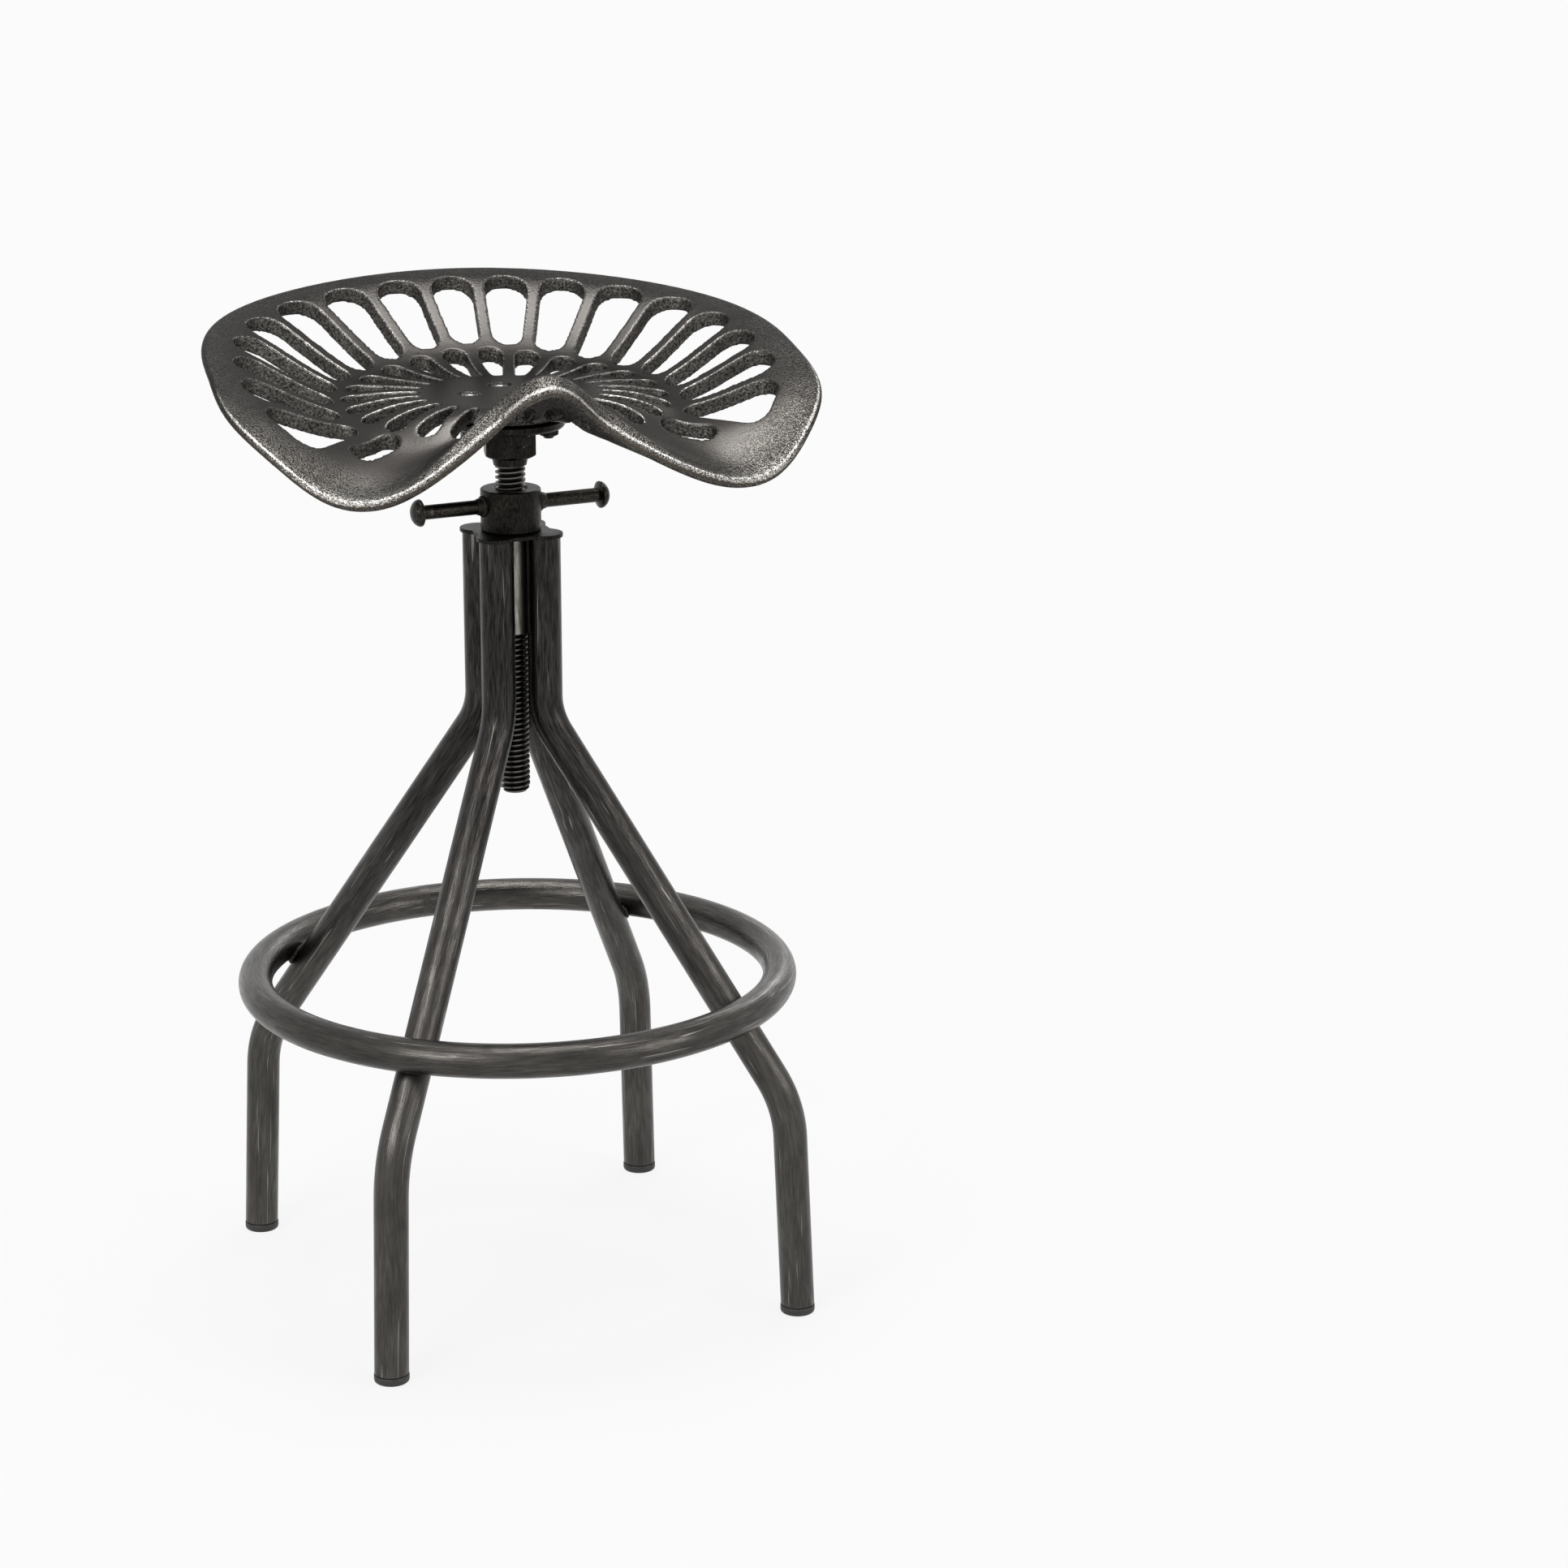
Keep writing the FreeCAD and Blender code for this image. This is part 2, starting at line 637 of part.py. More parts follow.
def seat_section(reach, edge, band, floor):
    """The seat's section in one direction: radius and height over the disc, top first."""
    disc, thickness = size("disc_radius"), size("pan_thickness")
    length = reach - disc
    top = [
        (disc, 0.0),
        (disc + 0.14 * length, 0.0),
        (disc + 0.28 * length, 0.35 * floor),
        (disc + 0.41 * length, floor),
        (disc + 0.62 * length, floor + 0.5 * (band - floor)),
        (disc + 0.80 * length, band),
        (disc + 0.90 * length, band + 0.6 * (edge - band)),
    ]
    rim = [
        (reach - size("rim_crown_run"), edge + size("rim_crown_rise")),
        (reach, edge - size("rim_nose_drop")),
        (reach - size("rim_heel_run"), edge - size("rim_heel_drop")),
        (reach - size("rim_lip_run"), edge - size("rim_lip_drop")),
    ]
    under = []
    for before, (radius, height), after in zip(top[:-2], top[1:-1], top[2:]):
        run, rise = after[0] - before[0], after[1] - before[1]
        share = thickness / math.hypot(run, rise)
        under.append((radius + rise * share, height - run * share))
    return top + rim + under[::-1] + [(disc, -thickness)]


def seat_skin():
    """The casting's skin from the disc over the rim and back below, one closed smooth face."""
    curves = {name: station_curve(name) for name in ("reach", "edge", "band", "floor")}
    level = size(DISC_TOP)
    rows = []
    for index in range(SECTION_COUNT):
        turn = 360 * index / SECTION_COUNT
        section = seat_section(**{name: curve(turn) for name, curve in curves.items()})
        rows.append([on_circle(radius, 90 + turn, level + height) for radius, height in section])
    poles = [list(row) for row in rows]
    for _ in range(4):
        poles = [[point + pole - (poles[index - 1][place] + pole * 4
                                  + poles[(index + 1) % SECTION_COUNT][place]) * (1 / 6)
                  for place, (point, pole) in enumerate(zip(rows[index], poles[index]))]
                 for index in range(SECTION_COUNT)]
    across = len(rows[0]) - 3
    skin = Part.BSplineSurface()
    skin.buildFromPolesMultsKnots(
        poles, [1] * (SECTION_COUNT + 1), [4] + [1] * (across - 1) + [4],
        list(range(SECTION_COUNT + 1)), list(range(across + 1)), True, False, 3, 3)
    return skin.toShape()


def around(circles, bottom, height):
    """A prism over the tight outline of circles (centre and radius), given counter-clockwise."""
    tangents = []
    for (first, first_round), (second, second_round) in zip(circles, circles[1:] + circles[:1]):
        ahead = (second - first).normalize()
        lean = (first_round - second_round) / (second - first).Length
        tangents.append(ahead * lean
                        + FreeCAD.Vector(ahead.y, -ahead.x, 0) * math.sqrt(1 - lean * lean))
    edges = []
    for index, (centre, radius) in enumerate(circles):
        arriving, leaving = tangents[index - 1], tangents[index]
        start = math.atan2(arriving.y, arriving.x)
        sweep = (math.atan2(leaving.y, leaving.x) - start) % (2 * math.pi)
        middle = on_circle(radius, math.degrees(start + sweep / 2))
        edges.append(Part.Arc(centre + arriving * radius, centre + middle,
                              centre + leaving * radius).toShape())
        following, following_round = circles[(index + 1) % len(circles)]
        edges.append(Part.LineSegment(centre + leaving * radius,
                                      following + leaving * following_round).toShape())
    face = Part.Face(Part.Wire(edges))
    face.translate(Z_AXIS * bottom)
    return face.extrude(Z_AXIS * height)


def slot_end(radius, turn, pitch):
    """The rounded end of a slot, as wide as the ribs beside it leave: its centre and radius."""
    return (on_circle(radius, 90 + turn),
            (radius * math.radians(pitch) - size("rib_width")) / 2)


def slot_tools(bottom, height):
    """Prisms for every opening of the seat's pattern."""
    reach, fan_end = station_curve("reach"), station_curve("fan")
    tools = []
    count, pitch = int(size("slot_count")), size("slot_turn")
    for index in range(count):
        place = index - (count - 1) / 2
        turn = place * pitch
        eared = index in (0, count - 1)
        margin = size("ear_rim_margin" if eared else "slot_rim_margin")
        circles = [slot_end(size("slot_start"), turn, pitch),
                   slot_end(reach(turn) - margin, turn, pitch)]
        if eared:
            side = math.copysign(size("ear_turn"), place)
            ear = (on_circle(size("ear_radius"), 90 + turn + side), size("ear_round"))
            circles.insert(2 if place > 0 else 1, ear)
        tools.append(around(circles, bottom, height))
    pitch = 360 / size("fan_count")
    for index in range(int(size("fan_count"))):
        turn = pitch * (index + 0.5)
        tools.append(around([slot_end(size("fan_start"), turn, pitch),
                             slot_end(fan_end(turn), turn, pitch)], bottom, height))
    for turn in (size("lobe_hole_turn"), -size("lobe_hole_turn")):
        ends = [(on_circle(size(f"lobe_hole_{end}"), 90 + turn), size("lobe_hole_round"))
                for end in ("start", "end")]
        tools.append(around(ends, bottom, height))
    return tools


def countersunk_holes(bottom):
    """Clearance holes with countersinks for the seat bolts."""
    head_top = size(f"{DISC_TOP} - bolt_sink")
    depth, gap = size("bolt_head_height"), size("bolt_head_gap")
    shank, head = size("bolt_dia / 2") + gap, size("bolt_head_dia / 2") + gap
    tools = []
    for centre in bolt_centres():
        hole = Part.makeCylinder(size("bolt_hole_dia / 2"), size(DISC_TOP) - bottom,
                                 centre + Z_AXIS * bottom)
        sink = Part.makeCone(shank, head, depth, centre + Z_AXIS * (head_top - depth))
        mouth = Part.makeCylinder(head, size("bolt_sink"), centre + Z_AXIS * head_top)
        tools += [hole, sink, mouth]
    return tools


def make_seat_pan():
    """The cast seat: one curved skin closed by its disc, with a boss below and all its openings."""
    skin = seat_skin()
    rings = [edge for edge in skin.Edges if edge.isClosed() and not edge.isSeam(skin)]
    shell = Part.makeShell([skin] + [Part.Face(Part.Wire(ring)) for ring in rings])
    shell.sewShape()
    pan = Part.makeSolid(shell)
    bottom = size(FLANGE_TOP)
    boss = Part.makeCylinder(size("boss_radius"), size("boss_height + pan_thickness / 2"),
                             on_circle(0, 0, bottom))
    pan = pan.fuse(boss)
    low = pan.BoundBox.ZMin - size("rib_width")
    height = pan.BoundBox.ZLength + size("2 * rib_width")
    pan = pan.cut(slot_tools(low, height) + countersunk_holes(bottom))
    return shape_part("seat_pan", pan)


def make_parts():
    """Make every sub-part of the stool, from the floor up."""
    parts = []
    for name, azimuth in leg_azimuths():
        parts.append(make_leg(name, azimuth))
        parts.append(make_foot_cap(name, azimuth))
    parts += [make_foot_ring(), make_sleeve(), make_top_plate(), make_lock_collar()]
    for side, opposite in (("right", 0), ("left", 180)):
        parts.append(make_lock_handle(side, size("handle_turn") + opposite))
    parts += [make_screw_rod(), make_seat_flange(), make_set_screw()]
    parts += [make_seat_bolts(), make_seat_washers(), make_seat_nuts(), make_seat_pan()]
    return parts


fill_sheet()
os.makedirs("parts", exist_ok=True)
for made in make_parts():
    made.Shape.exportStep(f"parts/{made.Label}.step")
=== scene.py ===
"""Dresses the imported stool: a cast tractor seat on a screw column with four bent tube legs.

Sizes are in millimetres and in the model's own frame: +Z up, the floor at 0, the screw's axis
at X = Y = 0 and the seat's front towards -Y. Meshes are built in metres.
"""

import logging
import math
from contextlib import contextmanager
from dataclasses import dataclass
from enum import Enum
from functools import cache
from typing import Any, Iterable, Iterator, NamedTuple, Optional, Sequence

import bmesh
import bpy
import numpy as np
from bpy.types import Mesh, Node, NodeSocket, NodeTree
from mathutils import Matrix, Vector


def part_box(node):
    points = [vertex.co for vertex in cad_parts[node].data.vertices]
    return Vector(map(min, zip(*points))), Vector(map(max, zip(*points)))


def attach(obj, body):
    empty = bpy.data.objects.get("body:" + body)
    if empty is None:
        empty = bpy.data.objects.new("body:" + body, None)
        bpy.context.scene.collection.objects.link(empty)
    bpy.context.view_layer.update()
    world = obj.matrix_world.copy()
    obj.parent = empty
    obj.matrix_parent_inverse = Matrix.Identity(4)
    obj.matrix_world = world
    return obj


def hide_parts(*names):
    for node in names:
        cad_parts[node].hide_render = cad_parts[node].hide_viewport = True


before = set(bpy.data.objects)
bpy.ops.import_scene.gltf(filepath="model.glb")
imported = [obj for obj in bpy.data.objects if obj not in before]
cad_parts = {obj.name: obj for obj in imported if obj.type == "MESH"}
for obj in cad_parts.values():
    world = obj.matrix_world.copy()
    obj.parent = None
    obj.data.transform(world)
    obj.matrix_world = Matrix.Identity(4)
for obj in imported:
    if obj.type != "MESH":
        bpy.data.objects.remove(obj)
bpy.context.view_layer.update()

Place = tuple[float, float, float]

LOG = logging.getLogger("stool")
MM = 0.001
# In metres: points of one mesh that are this close are one point, and the thread's turns are
# joined where they are this close.
SAME_PLACE = 1e-6
SEAM = 2e-5
TUBE = 25.0
BORE = 22.1
BOLT_CIRCLE = 29.0
LEG_TURNS = {"back_right": 51.2, "back_left": 141.2, "front_left": 231.2, "front_right": 321.2}


class Body(Enum):
    """The rigid bodies that pieces ride on."""

    BASE = "base"
    LOCK_NUT = "lock_nut"
    SCREW = "screw"
    SEAT = "seat"


class Ring(NamedTuple):
    """One ring of a turned piece: its radius or half its width across flats, and its height."""

    radius: float
    height: float
    flats: int = 0
    limit: float = 1000.0


def span(node: str) -> tuple[float, float]:
    """Gives the heights of a CAD node's lowest and highest points, in millimetres."""
    low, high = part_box(node)
    return round(low.z / MM, 3), round(high.z / MM, 3)


def polar(radius: float, turn: float, height: float = 0.0) -> Vector:
    """Gives the point at a radius, at a turn from +X in degrees, and at a height."""
    angle = math.radians(turn)
    return Vector((radius * math.cos(angle), radius * math.sin(angle), height))


def turns(count: int) -> list[float]:
    """Divides a full turn, in degrees."""
    return [360 * index / count for index in range(count)]


def lying(turn: float, level: float) -> Matrix:
    """Lays an upright axis level, at a turn from +X and a height."""
    return (Matrix.Translation((0, 0, level)) @ Matrix.Rotation(math.radians(turn), 4, "Z")
            @ Matrix.Rotation(math.radians(90), 4, "Y"))


def linear(code: str) -> tuple[float, float, float, float]:
    """Turns an sRGB hex colour into linear light.

    Args:
        code: The colour as #rrggbb.

    Returns:
        Red, green and blue in linear light, and an alpha of one.
    """
    parts = [int(code[place:place + 2], 16) / 255 for place in (1, 3, 5)]
    light = [part / 12.92 if part <= 0.04045 else ((part + 0.055) / 1.055) ** 2.4
             for part in parts]
    return light[0], light[1], light[2], 1.0


def add(tree: NodeTree, kind: str, inputs: Any = (), **settings: Any) -> Node:
    """Adds a node with its settings and its inputs' values or links.

    Args:
        tree: The node tree.
        kind: The node's type, where a shader node's goes without ShaderNode in front.
        inputs: Values, output sockets or nodes for the inputs, as a list from the first one on,
            or by name or number. A node stands for its first output in use. A map range lists
            its value, the low and high end that it comes from, and those that it goes to.
        settings: The node's own properties.

    Returns:
        The new node.
    """
    node = tree.nodes.new(kind if "Node" in kind else f"ShaderNode{kind}")
    for name, value in settings.items():
        setattr(node, name, value)
    given = inputs if isinstance(inputs, dict) else dict(enumerate(inputs))
    for key, value in given.items():
        if isinstance(value, Node):
            value = next(socket for socket in value.outputs if socket.enabled)
        if isinstance(value, NodeSocket):
            tree.links.new(value, node.inputs[key])
        else:
            node.inputs[key].default_value = value
    return node


def layered(tree: NodeTree, ground: str, *layers: tuple[Node, Any]) -> Node:
    """Lays tones over a ground.

    Args:
        tree: The material's tree.
        ground: The ground's colour.
        layers: For each layer its share, and its tone as a colour or a node.

    Returns:
        The node of the last layer.
    """
    colour: Any = linear(ground)
    for share, tone in layers:
        tone = linear(tone) if isinstance(tone, str) else tone
        colour = add(tree, "Mix", {0: share, 6: colour, 7: tone}, data_type="RGBA")
    return colour


def blank_tree(owner: bpy.types.ID) -> NodeTree:
    """Gives the emptied node tree of a material or a world."""
    owner.use_nodes = True
    owner.node_tree.nodes.clear()
    return owner.node_tree


class Grain(Enum):
    """The coordinates that a finish's marks follow."""

    SOLID = "solid"
    ALONG = "along"


class Look(NamedTuple):
    """What a finish draws for its shader."""

    colour: Node
    roughness: Node
    height: Node
    strength: Any


@dataclass(frozen=True)
class Metal:
    """A metal finish: two mixed tones, blotches, fine marks, scratches, and pale edges that are
    wear and painted highlight.

    Mark, blotch and a scratch's width and length are in millimetres. Glance tints what the
    metal mirrors at a low angle, and low_sheen is how much painted light lightens it near the
    floor.
    """

    name: str
    dark: str
    light: str
    worn_and_lit: str
    roughness: float
    roughness_swing: float = 0.1
    grain: Grain = Grain.SOLID
    mark: float = 1.0
    stretch: float = 1.0
    blotch: float = 30.0
    bump: float = 0.05
    scratches: float = 0.0
    edge_wear_and_highlight: float = 0.0
    metallic: float = 1.0
    glance: str = "#ffffff"
    low_sheen: float = 0.0
    scratch_width: float = 2.381
    scratch_length: float = 62.5

    @cache
    def material(self) -> bpy.types.Material:
        """Builds the finish as a node material, once.

        Returns:
            The material.
        """
        material = bpy.data.materials.new(self.name)
        tree = blank_tree(material)
        look = self._look(tree)
        relief = add(tree, "Bump", {
            "Height": look.height, "Strength": look.strength, "Distance": self.mark * MM})
        shader = add(tree, "BsdfPrincipled", {
            "Base Color": look.colour, "Roughness": look.roughness, "Metallic": self.metallic,
            "Specular Tint": linear(self.glance), "Normal": relief})
        add(tree, "OutputMaterial", [shader])
        return material

    def _look(self, tree: NodeTree) -> Look:
        """Draws the finish's marks.

        Args:
            tree: The material's tree.

        Returns:
            What the shader needs.
        """
        if self.grain is Grain.ALONG:
            source = add(tree, "Attribute", attribute_name="along").outputs["Vector"]
        else:
            source = add(tree, "TexCoord").outputs["Object"]
        marks = []
        for size, stretch, detail, roughness in ((self.mark, self.stretch, 4.0, 0.6),
                                                 (self.blotch, self.stretch ** 0.5, 3.0, 0.55)):
            step = 1000 / size
            place = add(tree, "Mapping", {"Vector": source, "Scale": (step, step, step / stretch)})
            marks.append(add(tree, "TexNoise", {
                "Vector": place, "Scale": 1.0, "Detail": detail, "Roughness": roughness}))
        fine, broad = marks
        flecks = add(tree, "MapRange", [fine, 0.32, 0.7])
        patches = add(tree, "MapRange", [broad, 0.3, 0.7, 0.5])
        share = add(tree, "Math", [flecks, patches], operation="MULTIPLY")
        layers = [(share, self.light)]
        if self.scratches > 0:
            layers.append((self._scratched(tree, source), self.worn_and_lit))
        if self.edge_wear_and_highlight > 0:
            layers.append((self._edges(tree, fine), self.worn_and_lit))
        # Painted light: the finish is lighter near the floor.
        if self.low_sheen > 0:
            layers.append((self._floor_sheen(tree, broad), self.worn_and_lit))
        roughness = add(tree, "MapRange", [
            share, 0.0, 1.0, self.roughness + self.roughness_swing,
            self.roughness - self.roughness_swing])
        return Look(layered(tree, self.dark, *layers), roughness, fine, self.bump)

    def _scratched(self, tree: NodeTree, source: NodeSocket) -> Node:
        """Draws thin scratches.

        Args:
            tree: The material's tree.
            source: The coordinates that the scratches follow.

        Returns:
            How much they show.
        """
        fine, long = 1000 / self.scratch_width, 1000 / self.scratch_length
        place = add(tree, "Mapping", {
            "Vector": source, "Rotation": (0.12, 0.07, 0.0), "Scale": (fine, fine, long)})
        lines = add(tree, "TexNoise", {
            "Vector": place, "Scale": 1.0, "Detail": 2.0, "Distortion": 0.6})
        return add(tree, "MapRange", [lines, 0.66, 0.74, 0.0, self.scratches])

    def _edges(self, tree: NodeTree, broken: Node) -> Node:
        """Draws pale edges that stand out, from the attribute wear: wear and painted
        highlight.

        Args:
            tree: The material's tree.
            broken: The marks that break the wear and painted highlight up.

        Returns:
            How much it shows.
        """
        edge = add(tree, "Attribute", attribute_name="wear").outputs["Fac"]
        wear = add(tree, "Math", [edge, broken], operation="MULTIPLY")
        return add(tree, "MapRange", [wear, 0.12, 0.42, 0.0, self.edge_wear_and_highlight])

    def _floor_sheen(self, tree: NodeTree, broken: Node) -> Node:
        """Paints the stool lighter low down, near the floor: painted light.

        Args:
            tree: The material's tree.
            broken: The blotches that break the painted light up.

        Returns:
            How much it shows.
        """
        place = add(tree, "TexCoord").outputs["Object"]
        height = add(tree, "SeparateXYZ", [place]).outputs["Z"]
        low = add(tree, "MapRange", [height, 0.42, 0.2, 0.0, self.low_sheen])
        uneven = add(tree, "MapRange", [broken, 0.3, 0.7, 0.6])
        return add(tree, "Math", [low, uneven], operation="MULTIPLY")


@dataclass(frozen=True)
class CastIron(Metal):
    """Rubbed cast iron: smooth round the middle, curly grain outside, sandy slot walls.

    The attribute rim is 1 at the outline, 0 from the casting's middle part on and -1 inside a
    bolt's mouth, where it paints the mouth's shade near-black. Calm and behind are the shares of
    the grain that the middle and the back keep, and curl is how wide its lines are.
    """

    calm: float = 0.12
    # Share of the pale grain kept behind; the rest is a painted highlight at the front.
    behind: float = 0.3
    curl: float = 0.07
    pit: str = "#262524"
    sandy: str = "#716e69"
    edge: str = "#4a443e"
    middle: str = "#403e3c"
    # Painted shade inside the bolts' mouths.
    mouth_shade_tone: str = "#0a0909"

    def _look(self, tree: NodeTree) -> Look:
        """Draws the casting's grain, its walls, its mouths with their painted shade, and its wear
        and painted highlights.

        Args:
            tree: The material's tree.

        Returns:
            What the shader needs.
        """
        source = add(tree, "TexCoord").outputs["Object"]
        fine = add(tree, "TexNoise", {
            "Vector": source, "Scale": 1000 / self.mark, "Detail": 2.5, "Roughness": 0.6,
            "Distortion": 0.5})
        broad = add(tree, "TexNoise", {
            "Vector": source, "Scale": 1000 / self.blotch, "Detail": 3.0, "Roughness": 0.55})
        off = add(tree, "Math", [fine, 0.5], operation="SUBTRACT")
        off = add(tree, "Math", [off], operation="ABSOLUTE")
        curls = add(tree, "MapRange", [off, 0.0, self.curl, 1.0, 0.0],
                    interpolation_type="SMOOTHSTEP")
        lumps = add(tree, "MapRange", [fine, 0.38, 0.66])
        patches = add(tree, "MapRange", [broad, 0.3, 0.6, 0.5])
        rim = add(tree, "Attribute", attribute_name="rim").outputs["Fac"]
        zone = add(tree, "MapRange", [rim, 0.3, 0.9, self.calm])
        outer = add(tree, "MapRange", [rim, 0.82, 0.88])
        # Where rim is -1, inside a bolt's mouth: painted shade.
        mouth_shade = add(tree, "MapRange", [rim, -0.9, -0.1, 1.0, 0.0])
        depth = add(tree, "SeparateXYZ", [source]).outputs["Y"]
        # The pale grain is full at the front and faint behind: real grain, with a painted
        # highlight where the lamps light the front.
        front = add(tree, "MapRange", [depth, -0.13, -0.04, 1.0, self.behind])
        normal = add(tree, "NewGeometry").outputs["Normal"]
        level = add(tree, "SeparateXYZ", [normal]).outputs["Z"]
        level = add(tree, "Math", [level], operation="ABSOLUTE")
        wall = add(tree, "MapRange", [level, 0.12, 0.42, 1.0, 0.0])
        grain = curls
        for part in (zone, front, patches):
            grain = add(tree, "Math", [grain, part], operation="MULTIPLY")
        grit = add(tree, "Math", [lumps, patches], operation="MULTIPLY")
        side = layered(tree, self.pit, (grit, self.sandy), (outer, self.edge))
        broken = add(tree, "MapRange", [curls, 0.0, 1.0, 0.33, 0.75])
        colour = layered(tree, self.middle, (zone, self.dark), (grain, self.light), (wall, side),
                         (mouth_shade, self.mouth_shade_tone), (self._edges(tree, broken), self.worn_and_lit))
        roughness = add(tree, "MapRange", [
            wall, 0.0, 1.0, self.roughness, self.roughness + self.roughness_swing])
        coarse = add(tree, "Math", [wall, zone], operation="MAXIMUM")
        strength = add(tree, "Math", [coarse, self.bump], operation="MULTIPLY")
        return Look(colour, roughness, fine, strength)


# Grey iron, sand cast, ground and darkened, then clear lacquered: a speckled pewter sheen.
# Its pale edges are wear and painted highlight.
CAST_IRON = CastIron("pewter_cast_iron", "#2c2b2a", "#85817b", "#d6d3ce", 0.32, 0.15, mark=1.6,
                     blotch=30.0, bump=0.6, edge_wear_and_highlight=0.85, glance="#b8b8b8")
# Welded steel tube, wiped with dark patina and rubbed back along its length: long pale streaks.
# Low down it gets painted light, lighter near the floor.
PATINA_TUBE = Metal("patina_steel_tube", "#161514", "#4b4846", "#b0aca5", 0.27, 0.09,
                    Grain.ALONG, mark=1.2, stretch=13.0, blotch=14.0, bump=0.24, scratches=0.55,
                    low_sheen=0.12)
# Turned and welded steel with the same patina, left darker: soft mottling, few streaks.
PATINA_TURNED = Metal("patina_turned_steel", "#131211", "#35332f", "#726e68", 0.40, 0.08,
                      mark=1.2, stretch=3.0, blotch=9.0, bump=0.15, scratches=0.2)
# The handles' round bar, rubbed by hands: the same patina, spotted paler.
PATINA_ROD = Metal("patina_handle_rod", "#1a1816", "#47443f", "#8b867e", 0.34, 0.08,
                   mark=1.4, stretch=1.0, blotch=7.0, bump=0.15, scratches=0.3)
# Rolled thread, black oxide and oil: almost black with a soft gloss, and its crests painted pale
# as wear and painted highlight.
BLACK_OXIDE = Metal("black_oxide_steel", "#080808", "#1d1c1b", "#85817b", 0.34, 0.06,
                    mark=0.8, blotch=7.0, bump=0.1, edge_wear_and_highlight=0.5)
# The seat's socket bolts: black oxide, with the key's socket painted bright: wear and a painted
# highlight.
SOCKET_BOLT = Metal("black_socket_bolt", "#0b0a0a", "#242321", "#e6e3de", 0.3, 0.06,
                    mark=0.8, blotch=7.0, bump=0.1, edge_wear_and_highlight=1.0)
# Bare cold-drawn tube, clear lacquered over the tint that welding left: bright with brown marks.
BARE_TUBE = Metal("bare_steel_tube", "#5c5852", "#aeaaa3", "#d6d3cd", 0.38, 0.08,
                  mark=2.0, stretch=8.0, blotch=9.0, bump=0.08, scratches=0.3)
# Weld metal under the patina: small overlapping ripples, a little rougher than the tube.
WELD = Metal("patina_weld_bead", "#1c1a17", "#4c4842", "#7d7973", 0.42, 0.1, mark=0.9,
             blotch=5.0, bump=0.3)
# Moulded polyethylene foot plug: a dark, dull, slightly scuffed surface.
PLUG = Metal("moulded_foot_plug", "#171614", "#3a3733", "#57534e", 0.5, 0.08, mark=0.9,
             blotch=6.0, bump=0.1, metallic=0.0)


def linked(name: str, data: bpy.types.ID) -> bpy.types.Object:
    """Makes an object in the scene from its data."""
    made = bpy.data.objects.new(name, data)
    bpy.context.scene.collection.objects.link(made)
    return made


def dressed(name: str, mesh: Mesh, finish: Metal, smooth_to: float = 35.0,
            bevel: float = 0.0) -> bpy.types.Object:
    """Makes an object from a mesh and dresses it.

    Args:
        name: The piece's name.
        mesh: Its mesh, in metres.
        finish: Its finish.
        smooth_to: Edges sharper than this many degrees stay crisp.
        bevel: The width of the small rounding on crisp edges, in millimetres.

    Returns:
        The piece.
    """
    mesh.name = name
    mesh.materials.clear()
    mesh.materials.append(finish.material())
    mesh.shade_smooth()
    piece = linked(name, mesh)
    if bevel > 0:
        rounding = piece.modifiers.new("edge_rounding", "BEVEL")
        rounding.width = bevel * MM
        rounding.segments = 2
        rounding.limit_method = "ANGLE"
        rounding.angle_limit = math.radians(smooth_to)
        rounding.harden_normals = True
    mesh.set_sharp_from_angle(angle=math.radians(smooth_to))
    return piece


def fit(piece: bpy.types.Object, body: Body, slot: str, *nodes: str) -> None:
    """Lets a piece ride on its body and stand for its nodes.

    Args:
        piece: The piece.
        body: The body that carries it.
        slot: The record's material slot; not used.
        nodes: The CAD nodes that it replaces.
    """
    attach(piece, body.value)
    if nodes:
        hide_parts(*nodes)
    LOG.info("%s rides on %s and stands for %s", piece.name, body.value, nodes or "no node")


@contextmanager
def edited(mesh: Mesh) -> Iterator[bmesh.types.BMesh]:
    """Opens a mesh for edits and writes them back.

    Args:
        mesh: The mesh.

    Yields:
        Its editable form.
    """
    shape = bmesh.new()
    shape.from_mesh(mesh)
    yield shape
    shape.to_mesh(mesh)
    shape.free()


def changed(mesh: Mesh, kind: str, inputs: Optional[dict[str, Any]] = None,
            **settings: Any) -> Mesh:
    """Runs a mesh through one modifier.

    Args:
        mesh: The mesh.
        kind: The modifier's type.
        inputs: A node tree's values, by the sockets' identifiers.
        settings: The modifier's own properties, in the order that they are set.

    Returns:
        The result as a plain mesh.
    """
    carrier = linked("carrier", mesh)
    modifier = carrier.modifiers.new("change", kind)
    for name, value in settings.items():
        setattr(modifier, name, value)
    for identifier, value in (inputs or {}).items():
        modifier[identifier] = value
    graph = bpy.context.evaluated_depsgraph_get()
    result = bpy.data.meshes.new_from_object(carrier.evaluated_get(graph))
    carrier.modifiers.remove(modifier)
    bpy.data.objects.remove(carrier)
    return result


def store(mesh: Mesh, name: str, values: Sequence[float]) -> None:
    """Stores one number for each point of a mesh as a named attribute."""
    mesh.attributes.new(name, "FLOAT", "POINT").data.foreach_set("value", values)


